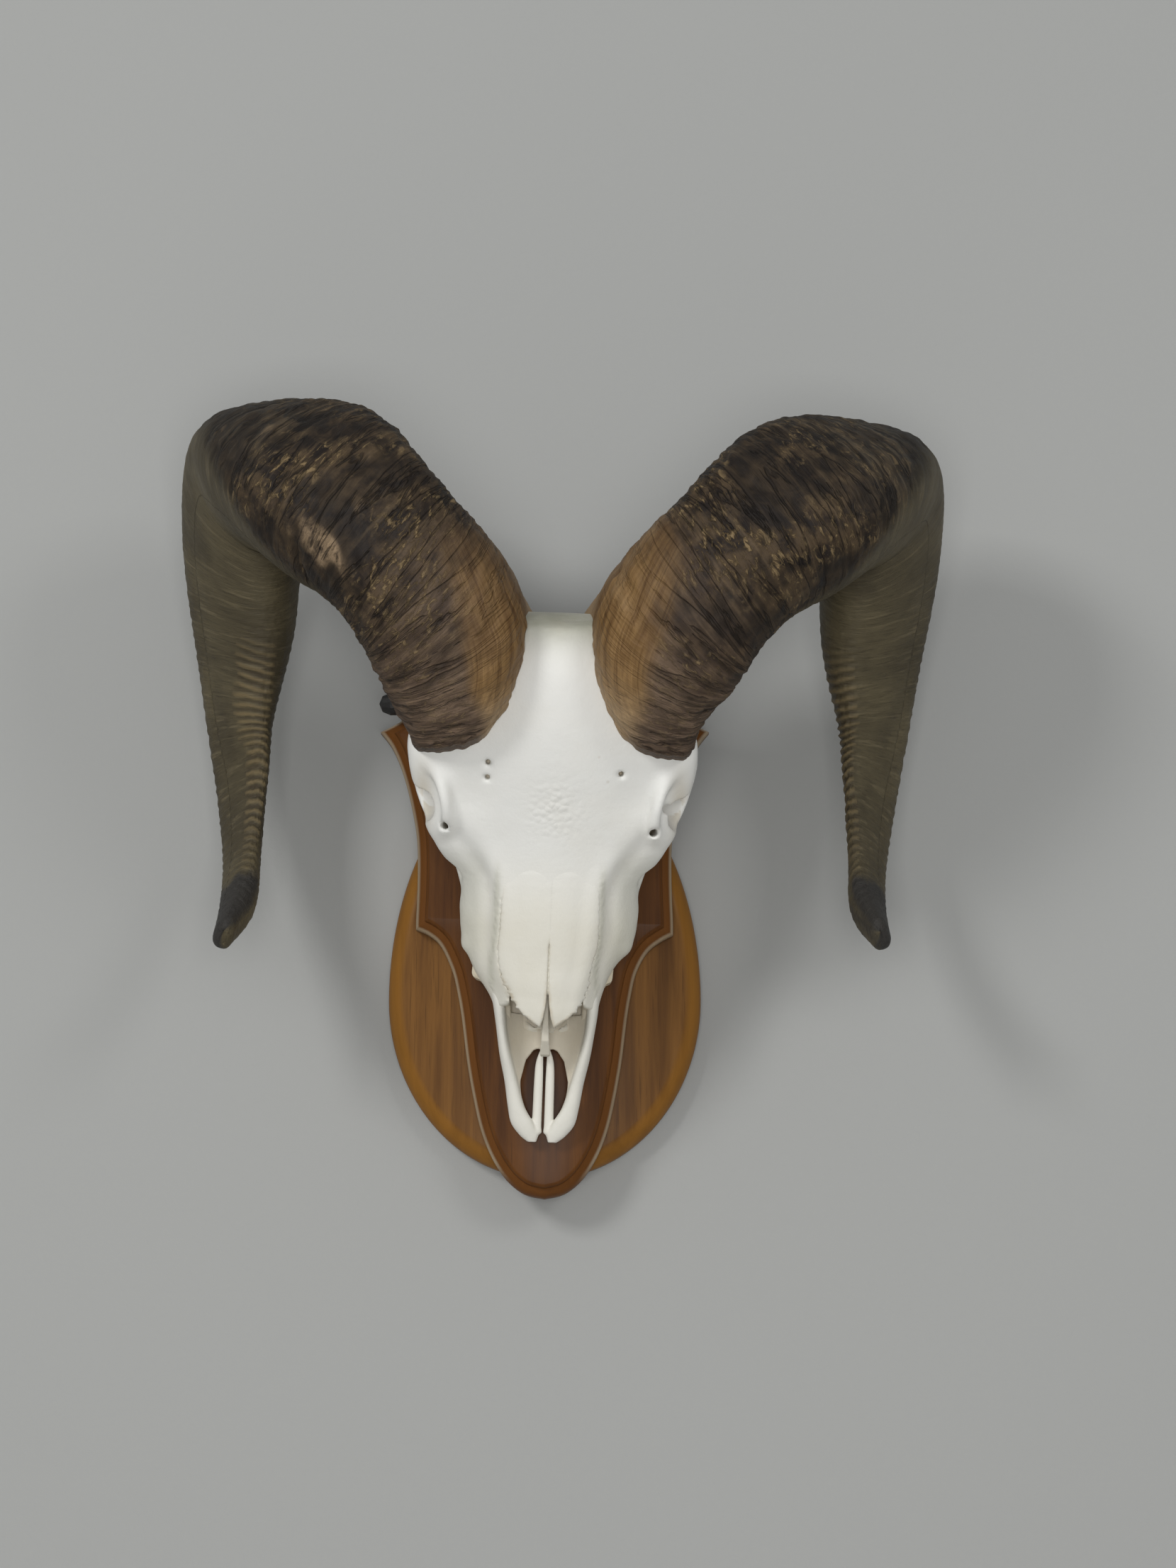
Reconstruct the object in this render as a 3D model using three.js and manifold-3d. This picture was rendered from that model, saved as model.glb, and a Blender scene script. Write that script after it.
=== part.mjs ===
// Bighorn ram skull, a wall mount: skull with both horn sheaths and no lower jaw, on a
// two-layer walnut plaque. Still piece, life size, millimetres, +Z up.
// World frame: +X to the viewer's right, +Y into the wall, +Z up. The origin is the middle
// of the plaque's back face, which lies on the wall at y = 0. "Depth" is the height of a
// point above the wall, so depth = -y.
import * as THREE from 'three';
import { mergeVertices } from 'three/addons/utils/BufferGeometryUtils.js';
import Module from 'manifold-3d';

const wasm = await Module();
wasm.setup();

// ---------------------------------------------------------------- driving sizes
const GAP = 0.3;                        // clearance between neighbouring solids
const SIDES = [['left', -1], ['right', 1]];

// The skull and horns hang a little off plumb.
const HEAD_ROLL = THREE.MathUtils.degToRad(2.2);
const HEAD_SHIFT_X = 3.4;

// Plaque: an egg-shaped back board and a narrower shield-shaped front board.
const BOARD_THICK = 18;
const BACK_HALF_WIDTH = 75.5;
const BACK_CENTRE_Z = -41;
const BACK_LOWER = 86;                  // from the widest line down to the bottom
const BACK_UPPER = 121;                 // and up to the top
const BACK_SIDES = 36;
const EDGE_MOULD = [[0, 0], [0, 10.5], [1.6, 12.8], [4, 14], [4.8, 17], [6.2, 18]];
// Right half of the shield, from the bottom centre to the top centre: [x, z].
const SHIELD_BOTTOM = [[0, -137.5], [9.5, -135.2], [18, -128.5], [25, -118], [30.2, -105], [33.8, -90],
  [37, -72], [39.5, -52], [41.5, -40], [44.2, -29], [49.5, -19.5], [56, -14.2], [61.8, -11.2]];
const SHIELD_WAIST = [[61.8, -5], [61.2, 12], [61.2, 28], [62.2, 40], [65.4, 56], [69.5, 70], [74.2, 80.5],
  [79.5, 87.5]];
const SHIELD_TOP = [[70, 92.5], [61, 99.5], [50, 107.5], [36, 113.5], [20, 118], [6, 121], [0, 122.5]];

// Steel bracket: a strap on the front board, a cross bar and a stud under the skull.
const BOARD_TOP = 2 * BOARD_THICK;
const STRAP = { width: 26, height: 84, thick: 5, z: 70 };
const CROSS_BAR = { half: 74, radius: 5.5, z: 99 };
const STUD = { radius: 6, z: 96, top: 65.4 };
const STUD_PAD = { radius: 12, thick: 3 };
const JOINT_OVERLAP = 1;                // how far joined parts of one solid run into each other
const [ROUND_SIDES, ROUND_CAP_RINGS] = [12, 2]; // facets of round bars and their ends

// Head stations, tip of the nose to the back: height z, depth along the midline of the
// top, then [half width, depth] of the shoulder, the widest line, the lower side and the
// lower edge, and last the depth along the midline of the base.
const HEAD = [
  { z: -75, top: 57, shoulder: [8, 57], wide: [13, 56], low: [13.5, 54], edge: [10, 51.5], base: 51.5 },
  { z: -62, top: 84, shoulder: [13, 80], wide: [21, 68], low: [20, 58], edge: [15, 51], base: 52.5 },
  { z: -46, top: 94, shoulder: [17, 89], wide: [25, 76], low: [25, 62], edge: [20, 50], base: 55 },
  { z: -32, top: 100, shoulder: [22, 95], wide: [32, 79], low: [32, 64], edge: [28, 49], base: 57 },
  { z: -15, top: 108, shoulder: [24, 103], wide: [40, 82], low: [39, 66], edge: [34, 49], base: 59 },
  { z: 5, top: 117, shoulder: [27, 112], wide: [41, 92], low: [40, 70], edge: [35, 50], base: 60 },
  { z: 20, top: 126, shoulder: [37, 119], wide: [53, 104], low: [42, 76], edge: [34, 55], base: 62 },
  { z: 35, top: 137, shoulder: [48, 129], wide: [61, 113], low: [44, 80], edge: [26, 60], base: 63 },
  { z: 55, top: 153, shoulder: [54, 143], wide: [66, 126], low: [42, 86], edge: [20, 63], base: 64 },
  { z: 73, top: 165, shoulder: [54, 152], wide: [65, 132], low: [40, 92], edge: [20, 66], base: 66 },
  { z: 92, top: 174, shoulder: [44, 160], wide: [52, 130], low: [39, 95], edge: [23, 68], base: 68 },
  { z: 108, top: 175, shoulder: [34, 163], wide: [46, 130], low: [40, 97], edge: [25, 70], base: 69 },
  { z: 117, top: 168, shoulder: [30, 158], wide: [43, 128], low: [39, 97], edge: [24, 72], base: 71 },
  { z: 125, top: 142, shoulder: [26, 138], wide: [37, 118], low: [33, 95], edge: [20, 76], base: 76 },
  { z: 129, top: 124, shoulder: [18, 121], wide: [27, 110], low: [24, 94], edge: [14, 83], base: 83 },
];
const HEAD_STEPS_PER_STATION = 2;
const HEAD_SIDES = 18;
const HEAD_CROWN = { wide: 0.55, drop: 0.35 };   // between the midline and the shoulder, as shares of it
const HEAD_BASE_WIDE = 0.45;            // half width of the flat base, as a share of the lower edge's
// Seam between the jaw bones and the brain case: depth and height at the palate and at the brow.
const SEAM = { palate: [50, 41], brow: [118, 9] };

// Nasal bones: half width of the pair against height, and their thickness.
const NASAL_WIDTH = [[-61, 2.4], [-57, 8.5], [-52, 14], [-46, 17.5], [-40, 20.3], [-24, 23.2], [0, 22.6],
  [14, 19], [22, 13], [27, 6]];
const NASAL_THICK = 4.5;
const NASAL_CLEAR = 30;                 // how far the outline of the nasal bones is carried above them
// Nose passage under them: z, half width, floor depth, roof depth.
const NOSE_PASSAGE = [[-90, 22, 56, 96], [-62, 16, 57, 96], [-46, 17, 60, 86], [-30, 15, 64, 90],
  [-8, 10, 72, 92], [10, 5, 80, 92]];
const NOSE_NOTCH = { z: -58, height: 20, floor: 75, width: 80, tall: 60 };

// Eye sockets: centre, radius and the way they face.
const ORBIT = { x: 57, depth: 119, z: 47, radius: 21, rim: 4.2 };
const ORBIT_FACING = [0.90, 0.20, -0.36];       // sideways, out from the wall, up
const ORBIT_POCKET = [17.5, 17.5, 27];          // half sizes of the hollow behind the rim
const ORBIT_POCKET_SET_IN = 5.5;                // and how far its middle lies behind the rim
const ORBIT_RIM_SIDES = 6;
const ORBIT_RIM_STEPS = 18;
// Cheek bar from the lower rim back to the side of the brain case: x, depth, z, half width, half height.
const CHEEK_BAR = [[50, 96, 32, 3.2, 7], [57, 93, 48, 3, 6], [58, 92, 66, 3, 5.5], [54, 92, 84, 3.4, 6],
  [45, 93, 98, 4, 7]];
const CHEEK_BAR_SIDES = 6;
const [BAR_CORNER, BAR_STEPS_PER_ROW] = [0.45, 2]; // cut corners of the slim bars, rings between their rows
const TEMPLE_HOLLOW = { x: 57, depth: 100, z: 84, half: [19, 26, 22] };
const BASE_HOLLOW = { x: 40, depth: 70, z: 58, half: [17, 24, 36] };
const CONDYLE = { x: 13, depth: 86, z: 122, half: [8, 10, 9.5] };
const [BALL_SIDES, BALL_RINGS] = [11, 7];         // facets of the hollows and the knobs
const SPINE_HOLE = { depth: 95, z: 136, half: [11, 10, 26] };

// Palate and teeth.
const PALATE_HOLLOW = [[-80, 10, 50], [-40, 18, 55], [-10, 22, 59], [20, 21, 61], [42, 14, 62]];
const PALATE_LOWEST = 36;
const TOOTH = { count: 6, firstZ: -32, pitch: 12.2, length: 12.8, width: 12, root: 60, tip: 41, sides: 6,
  wide: 0.5, narrow: 0.44 };
const TOOTH_ROW_X = [27.5, 30.5, 31, 30.5, 29.5, 27.5];

// Premaxillae: the two side bars of the nose, and the slim bars beside the midline.
// z, middle x, half width, lower depth, upper depth
const PREMAX_BAR = [[-111.5, 4.8, 2, 41.5, 44.5], [-108.5, 6.5, 4.2, 40.5, 46.5], [-103, 9.6, 5.4, 41, 49.5],
  [-95, 12.9, 4, 43, 53], [-84, 15.5, 3.2, 46.5, 58], [-72, 18.6, 2.8, 51, 66],
  [-60, 20.8, 2.5, 58, 73.5], [-50, 22.2, 2.3, 65, 80], [-42, 23.2, 1.9, 71, 85], [-34, 24, 1, 77, 88.5]];
const PREMAX_SPLINT = [[-107, 2.9, 2.3, 41, 45], [-95, 2.8, 2.2, 44, 48], [-82, 2.7, 2.1, 48, 51.5],
  [-70, 2.6, 1.9, 51, 54.5]];
const SEPTUM = [[-72, 2.3, 58, 68], [-66, 1.9, 58, 76], [-54, 1.1, 60.3, 82], [-40, 0.9, 62.5, 84]];

// Horn stations along the curl, skull to tip: sideways, depth, height of the middle, half
// width across the front face, half size out to the front and in to the keel, and the
// way the front faces (sideways, out from the wall, up).
const HORN = [
  [36, 129.9, 96.2, 20.5, 54.5, 60, 0.3, 0.62, -0.72],
  [51, 153.2, 123, 35, 56.5, 53.7, -0.02, 0.85, -0.53],
  [82, 162.1, 148, 34, 54.4, 45.2, -0.08, 1, 0.04],
  [106.5, 156.7, 166, 38.4, 45.3, 35.7, 0.09, 0.85, 0.52],
  [127, 139.8, 178, 36, 41, 31.3, 0.16, 0.47, 0.87],
  [139, 115.5, 181.3, 32, 39, 30.8, 0.23, -0.18, 0.96],
  [146, 86.6, 162.2, 27, 32.9, 34.3, 0.34, -0.66, 0.67],
  [147, 65.1, 127.7, 22.5, 24.5, 34.3, 0.4, -0.84, 0.38],
  [149.8, 53.7, 86, 13.7, 18, 28.9, 0.45, -0.89, 0.09],
  [148, 58.2, 52.5, 8.5, 15.8, 20.9, 0.52, -0.79, -0.32],
  [145, 75.3, 21.7, 7.2, 13.5, 12.5, 0.46, -0.68, -0.57],
  [144, 99.6, -1.7, 7.5, 12.5, 8.5, 0.33, -0.59, -0.73],
  [148, 122.5, -16.5, 4.5, 12.2, 5.7, 0.26, -0.54, -0.8],
];
const HORN_TIP_SHIFT = { left: [-1, -5.5], right: [2.5, 5.6] };   // how far each tip strays: x, z
const HORN_BELLY_SHIFT = { left: [3, 0.4], right: [-1.5, 0] };  // and the far end of each curl
const HORN_BELLY = { station: 6.5, spread: 2.2 };
const HORN_STEPS_PER_STATION = 3;
const HORN_SIDES = 14;
const HORN_FLARE = 0.3;                 // how much wider the front face is than the keel
const HORN_CORNER = 0.8;                // under 1 gives rounded corners
const HORN_CAP = [[3, 0.8], [5, 0.4]];  // rounded tip: distance past the last station, share of its size
const HORN_ROOT = { depth: 118, sink: 3 };      // the base wall drops straight back to this depth

// ---------------------------------------------------------------- finishes
const BONE = { color: 0xe9e6dc, roughness: 0.62, metalness: 0 };
const HORN_KERATIN = { color: 0x54473a, roughness: 0.68, metalness: 0 };
const WALNUT_BACK = { color: 0x7d4f2b, roughness: 0.4, metalness: 0 };
const WALNUT_FRONT = { color: 0x5f3720, roughness: 0.4, metalness: 0 };
const BLACK_STEEL = { color: 0x1d1c1b, roughness: 0.55, metalness: 0.6 };

// ---------------------------------------------------------------- small tools
const at = (x, depth, z) => new THREE.Vector3(x, -depth, z);

// A point on the smooth curve through rows of numbers, at t in rows from the first.
function along(rows, t) {
  const last = rows.length - 1;
  const i = Math.min(Math.floor(t), last - 1);
  const f = t - i;
  const row = (k) => rows[Math.max(0, Math.min(last, k))];
  return rows[i].map((_, c) => {
    const [a, b, d, e] = [row(i - 1)[c], row(i)[c], row(i + 1)[c], row(i + 2)[c]];
    const [square, cube] = [2 * a - 5 * b + 4 * d - e, 3 * b - a - 3 * d + e];
    return 0.5 * (2 * b + (d - a) * f + square * f * f + cube * f ** 3);
  });
}

function evenSteps(rows, perRow) {
  const count = (rows.length - 1) * perRow;
  return Array.from({ length: count + 1 }, (_, i) => along(rows, i / perRow));
}

// A value read off a list of [place, value] pairs with straight lines between them.
function between(pairs, place) {
  const next = pairs.findIndex(([p]) => p >= place);
  if (next <= 0) return pairs[next === 0 ? 0 : pairs.length - 1][1];
  const [[p0, v0], [p1, v1]] = [pairs[next - 1], pairs[next]];
  return v0 + (v1 - v0) * (place - p0) / (p1 - p0);
}

// Signed volume of a triangle list, positive when its faces point out.
function signedVolume(points, faces) {
  return faces.reduce((sum, [a, b, c]) => sum
    + points[a].dot(new THREE.Vector3().crossVectors(points[b], points[c])) / 6, 0);
}

function geometryFrom(points, faces) {
  const outward = signedVolume(points, faces) > 0;
  const geometry = new THREE.BufferGeometry();
  geometry.setAttribute('position', new THREE.Float32BufferAttribute(points.flatMap((p) => p.toArray()), 3));
  geometry.setIndex(faces.flatMap(([a, b, c]) => (outward ? [a, b, c] : [a, c, b])));
  return geometry;
}

// Triangles of the wall through a row of rings that all have the same number of points.
function wallFaces(rings) {
  const n = rings[0].length;
  const faces = [];
  for (let r = 0; r + 1 < rings.length; r += 1) {
    for (let k = 0; k < n; k += 1) {
      const [a, b] = [r * n + k, r * n + (k + 1) % n];
      faces.push([a, b, b + n], [a, b + n, a + n]);
    }
  }
  return faces;
}

// Closed skin over a row of rings, each end a fan from the middle of its ring.
function ringSkin(rings) {
  const n = rings[0].length;
  const points = rings.flat();
  const faces = wallFaces(rings);
  const lastRing = (rings.length - 1) * n;
  [[0, true], [lastRing, false]].forEach(([start, flip]) => {
    const hub = points.length;
    const ring = points.slice(start, start + n);
    points.push(ring.reduce((sum, p) => sum.add(p), new THREE.Vector3()).divideScalar(n));
    for (let k = 0; k < n; k += 1) {
      const [a, b] = [start + k, start + (k + 1) % n];
      faces.push(flip ? [hub, b, a] : [hub, a, b]);
    }
  });
  return geometryFrom(points, faces);
}

function solid(geometry) {
  const bare = geometry.clone();
  ['normal', 'uv'].forEach((name) => bare.deleteAttribute(name));
  const merged = mergeVertices(bare);
  return new wasm.Manifold(new wasm.Mesh({
    numProp: 3,
    vertProperties: new Float32Array(merged.attributes.position.array),
    triVerts: new Uint32Array(merged.index.array),
  }));
}

function geometryOf(body) {
  const mesh = body.getMesh();
  const geometry = new THREE.BufferGeometry();
  geometry.setAttribute('position', new THREE.BufferAttribute(Float32Array.from(mesh.vertProperties), 3));
  geometry.setIndex(new THREE.BufferAttribute(Uint32Array.from(mesh.triVerts), 1));
  return geometry;
}

// The largest of the separate bodies that a cut leaves; the crumbs are dropped.
function mainBody(body) {
  return body.decompose().reduce((best, piece) => (piece.volume() > best.volume() ? piece : best));
}

function boxSolid(size, centre) {
  return solid(new THREE.BoxGeometry(...size).translate(...centre.toArray()));
}

// Its third half size lies along facing.
function ellipsoid(half, centre, facing = new THREE.Vector3(0, 0, 1)) {
  const turn = new THREE.Quaternion().setFromUnitVectors(new THREE.Vector3(0, 0, 1), facing);
  return solid(new THREE.SphereGeometry(1, BALL_SIDES, BALL_RINGS).scale(...half).applyQuaternion(turn)
    .translate(...centre.toArray()));
}

// Bar with cut corners through rows of [z, x, half width, low, high], fattened by grow.
function bar(rows, side, grow = 0) {
  const cut = BAR_CORNER;
  const stations = evenSteps(rows, BAR_STEPS_PER_ROW);
  const rings = stations.map(([level, x, width, low, high], i) => {
    const reach = i === 0 ? -grow : (i === stations.length - 1 ? grow : 0);
    const z = level + reach;
    const half = width + grow / cut;
    const [mid, tall] = [(low + high) / 2, (high - low) / 2 + grow / cut];
    const corners = [[1, cut], [cut, 1], [-cut, 1], [-1, cut], [-1, -cut], [-cut, -1], [cut, -1], [1, -cut]];
    return corners.map(([u, v]) => at(side * (x + u * half), mid + v * tall, z));
  });
  return ringSkin(rings);
}

const bones = new THREE.Group();
bones.position.x = HEAD_SHIFT_X;
bones.rotation.y = HEAD_ROLL;
const mount = new THREE.Group();

function place(group, name, geometry, finish) {
  const mesh = new THREE.Mesh(geometry, new THREE.MeshStandardMaterial(finish));
  mesh.name = name;
  group.add(mesh);
}

// ---------------------------------------------------------------- plaque
// Outline pushed inwards by inset along the corner bisectors: [x, z] points, closed.
function insetOutline(outline, inset) {
  const n = outline.length;
  return outline.map(([x, z], i) => {
    const [px, pz] = outline[(i + n - 1) % n];
    const [qx, qz] = outline[(i + 1) % n];
    const a = new THREE.Vector2(x - px, z - pz).normalize();
    const b = new THREE.Vector2(qx - x, qz - z).normalize();
    const normal = new THREE.Vector2(-a.y - b.y, a.x + b.x).normalize();
    const stretch = 1 / Math.max(0.5, normal.dot(new THREE.Vector2(-a.y, a.x)));
    return [x + normal.x * inset * stretch, z + normal.y * inset * stretch];
  });
}

// Board with a moulded edge: the profile is [inset, depth above the board's back] pairs.
function board(outline, back) {
  const rings = EDGE_MOULD.map(([inset, rise]) => insetOutline(outline, inset)
    .map(([x, z]) => at(x, back + rise, z)));
  const points = rings.flat();
  const faces = wallFaces(rings);
  const flat = (k) => THREE.ShapeUtils.triangulateShape(
    rings[k].map((p) => new THREE.Vector2(p.x, p.z)), []);
  const lastRing = (rings.length - 1) * outline.length;
  flat(0).forEach(([a, b, c]) => faces.push([a, c, b]));
  flat(rings.length - 1).forEach(([a, b, c]) => faces.push([a + lastRing, b + lastRing, c + lastRing]));
  return geometryFrom(points, faces);
}

function backOutline() {
  return Array.from({ length: BACK_SIDES }, (_, i) => {
    const turn = 2 * Math.PI * i / BACK_SIDES - Math.PI / 2;
    const reach = Math.sin(turn) < 0 ? BACK_LOWER : BACK_UPPER;
    return [BACK_HALF_WIDTH * Math.cos(turn), BACK_CENTRE_Z + reach * Math.sin(turn)];
  });
}

function shieldOutline() {
  const right = [...SHIELD_BOTTOM, ...SHIELD_WAIST, ...SHIELD_TOP];
  const left = right.slice(1, -1).reverse().map(([x, z]) => [-x, z]);
  return [...right, ...left];
}

function bracket() {
  const foot = BOARD_TOP + GAP;
  const strap = boxSolid([STRAP.width, STRAP.thick, STRAP.height], at(0, foot + STRAP.thick / 2, STRAP.z));
  const turned = new THREE.CapsuleGeometry(CROSS_BAR.radius, 2 * CROSS_BAR.half, ROUND_CAP_RINGS, ROUND_SIDES)
    .rotateZ(Math.PI / 2);
  const cross = solid(turned.translate(0, -(foot + CROSS_BAR.radius), CROSS_BAR.z));
  const rod = (radius, low, high) => solid(new THREE.CylinderGeometry(radius, radius, high - low, ROUND_SIDES)
    .translate(0, -(low + high) / 2, STUD.z));
  const stud = rod(STUD.radius, foot + JOINT_OVERLAP, STUD.top - JOINT_OVERLAP);
  const pad = rod(STUD_PAD.radius, STUD.top - STUD_PAD.thick, STUD.top);
  return geometryOf(strap.add(cross).add(stud).add(pad));
}

place(mount, 'plaque_back', board(backOutline(), 0), WALNUT_BACK);
place(mount, 'plaque_front', board(shieldOutline(), BOARD_THICK + GAP), WALNUT_FRONT);

// ---------------------------------------------------------------- skull
const headRows = HEAD.map((s) => [s.z, s.top, ...s.shoulder, ...s.wide, ...s.low, ...s.edge, s.base]);

// One cross-section of the head, grown outwards by grow: a smooth closed ring.
function headRing(row, grow) {
  const [z, top, sx, sd, wx, wd, lx, ld, ex, ed, base] = row;
  const crown = [sx * HEAD_CROWN.wide, top - (top - sd) * HEAD_CROWN.drop];
  const underside = [ex * HEAD_BASE_WIDE, base];
  const half = [[0, top], crown, [sx, sd], [wx, wd], [lx, ld], [ex, ed], underside, [0, base]];
  const mid = (top + base) / 2;
  const loop = [...half, ...half.slice(1, -1).reverse().map(([x, d]) => [-x, d])];
  const closed = [...loop, loop[0]];
  const wrap = (k) => closed[(k + loop.length) % loop.length];
  return Array.from({ length: HEAD_SIDES }, (_, k) => {
    const t = k * loop.length / HEAD_SIDES;
    const i = Math.floor(t);
    const [x, d] = along([wrap(i - 1), wrap(i), wrap(i + 1), wrap(i + 2)], 1 + t - i);
    const out = new THREE.Vector2(x, d - mid).normalize().multiplyScalar(grow);
    return at(x + out.x, d + out.y, z);
  });
}

function headSolid(grow = 0) {
  return solid(ringSkin(evenSteps(headRows, HEAD_STEPS_PER_STATION).map((row) => headRing(row, grow))));
}

// Tapered block with four corners per row: each row is z and [x0, x1, depth0, depth1].
function taperedBlock(rows) {
  return solid(ringSkin(rows.map(([z, x0, x1, d0, d1]) => [at(x0, d0, z), at(x1, d0, z), at(x1, d1, z),
    at(x0, d1, z)])));
}

const topAt = (z) => between(HEAD.map((s) => [s.z, s.top]), z);

function nasalBlock(side, grow) {
  const inner = GAP / 2 - grow;
  const rows = NASAL_WIDTH.map(([z, half], i) => {
    const reach = i === 0 ? -grow : (i === NASAL_WIDTH.length - 1 ? grow : 0);
    const [a, b] = [side * inner, side * (half + grow)];
    return [z + reach, Math.min(a, b), Math.max(a, b), topAt(z) - NASAL_THICK - grow,
      topAt(z) + NASAL_CLEAR];
  });
  return taperedBlock(rows);
}

function orbitFacing(side) {
  return at(side * ORBIT_FACING[0], ORBIT_FACING[1], ORBIT_FACING[2]).normalize();
}

// Rim of an eye socket: a round ring of tube.
function orbitRim(side, grow) {
  const turn = new THREE.Quaternion().setFromUnitVectors(new THREE.Vector3(0, 0, 1), orbitFacing(side));
  const ring = new THREE.TorusGeometry(ORBIT.radius, ORBIT.rim + grow, ORBIT_RIM_SIDES, ORBIT_RIM_STEPS);
  return solid(ring.applyQuaternion(turn).translate(side * ORBIT.x, -ORBIT.depth, ORBIT.z));
}

function cheekBar(side, grow) {
  const rings = evenSteps(CHEEK_BAR, BAR_STEPS_PER_ROW).map(([x, depth, z, wide, tall]) => {
    const corner = (k) => Math.PI * (2 * k + 1) / CHEEK_BAR_SIDES;
    return Array.from({ length: CHEEK_BAR_SIDES }, (_, k) => at(
      side * (x + (wide + grow) * Math.cos(corner(k))), depth + (tall + grow) * Math.sin(corner(k)), z));
  });
  return solid(ringSkin(rings));
}

function rimSolid(side, grow = 0) {
  return orbitRim(side, grow).add(cheekBar(side, grow));
}

// Hollow behind the rim of an eye socket, drawn in by shrink.
function socketPocket(side, shrink = 0) {
  const facing = orbitFacing(side);
  const centre = at(side * ORBIT.x, ORBIT.depth, ORBIT.z).addScaledVector(facing, -ORBIT_POCKET_SET_IN);
  return ellipsoid(ORBIT_POCKET.map((half) => half - shrink), centre, facing);
}

function toothRow(side) {
  return TOOTH_ROW_X.slice(0, TOOTH.count).map((x, i) => {
    const z = TOOTH.firstZ + i * TOOTH.pitch;
    const tall = TOOTH.root - TOOTH.tip;
    return solid(new THREE.CylinderGeometry(TOOTH.wide, TOOTH.narrow, tall, TOOTH.sides)
      .scale(TOOTH.width, 1, TOOTH.length).translate(side * x, -(TOOTH.tip + tall / 2), z));
  });
}

const nasals = SIDES.map(([, side]) => nasalBlock(side, 0));
const nasalSeats = SIDES.map(([, side]) => nasalBlock(side, GAP));
const head = headSolid();
const shell = nasalSeats.reduce((body, block) => body.subtract(block), head);

const sockets = SIDES.map(([, side]) => socketPocket(side));
const temples = SIDES.map(([, side]) => ellipsoid(TEMPLE_HOLLOW.half,
  at(side * TEMPLE_HOLLOW.x, TEMPLE_HOLLOW.depth, TEMPLE_HOLLOW.z)));
const baseHollows = SIDES.map(([, side]) => ellipsoid(BASE_HOLLOW.half,
  at(side * BASE_HOLLOW.x, BASE_HOLLOW.depth, BASE_HOLLOW.z)));
const passage = taperedBlock(NOSE_PASSAGE.map(([z, half, low, high]) => [z, -half, half, low, high]));
const notch = boxSolid([NOSE_NOTCH.width, NOSE_NOTCH.tall, NOSE_NOTCH.height],
  at(0, NOSE_NOTCH.floor + NOSE_NOTCH.tall / 2, NOSE_NOTCH.z));
const palate = taperedBlock(PALATE_HOLLOW.map(([z, half, roof]) => [z, -half, half, PALATE_LOWEST, roof]));
const spineHole = ellipsoid(SPINE_HOLE.half, at(0, SPINE_HOLE.depth, SPINE_HOLE.z));

SIDES.forEach(([name, side], i) => {
  place(bones, `nasal_${name}`, geometryOf(head.intersect(nasals[i])), BONE);
});

// The head without its nasal bones, split at a slanting seam into the jaws and the brain case.
const seamRun = at(0, ...SEAM.brow).sub(at(0, ...SEAM.palate));
const seamNormal = new THREE.Vector3(-1, 0, 0).cross(seamRun).normalize();
const seamOffset = seamNormal.dot(at(0, ...SEAM.palate));
const towardsJaws = seamNormal.clone().negate().toArray();
const jaws = shell.subtract(passage).subtract(notch).trimByPlane(towardsJaws, GAP / 2 - seamOffset);
const hollowed = [...sockets, ...temples, ...baseHollows].reduce((body, cut) => body.subtract(cut), shell);
const braincase = hollowed.trimByPlane(seamNormal.toArray(), seamOffset + GAP / 2).subtract(passage);
const knobbed = SIDES.reduce((body, [, side]) => body.add(ellipsoid(CONDYLE.half,
  at(side * CONDYLE.x, CONDYLE.depth, CONDYLE.z))), braincase);
const cranium = knobbed.subtract(spineHole).subtract(palate);
place(bones, 'cranium', geometryOf(mainBody(cranium)), BONE);

// Socket rims with their cheek bars, kept a gap clear of the brain case and the jaws.
const grownHead = headSolid(GAP);
const rimRoom = SIDES.map(([, side]) => socketPocket(side, GAP));
const grownHollows = rimRoom.reduce((body, cut) => body.subtract(cut), grownHead);
const rims = SIDES.map(([, side]) => rimSolid(side).subtract(grownHollows));

const premaxillae = SIDES.map(([, side]) => solid(bar(PREMAX_BAR, side))
  .add(solid(bar(PREMAX_SPLINT, side))));
const septum = solid(bar(SEPTUM.map(([z, half, low, high]) => [z, 0, half, low, high]), 1));

SIDES.forEach(([name, side], i) => {
  const teeth = toothRow(side).reduce((row, tooth) => row.add(tooth));
  const seated = [PREMAX_BAR, PREMAX_SPLINT].map((rows) => solid(bar(rows, side, GAP)))
    .reduce((body, seat) => body.subtract(seat), jaws.subtract(palate));
  const jaw = seated.trimByPlane([side, 0, 0], GAP / 2).add(teeth);
  place(bones, `maxilla_${name}`, geometryOf(mainBody(jaw)), BONE);
  place(bones, `orbit_${name}`, geometryOf(mainBody(rims[i])), BONE);
  place(bones, `premaxilla_${name}`, geometryOf(premaxillae[i]), BONE);
});
place(bones, 'vomer', geometryOf(septum), BONE);

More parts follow.
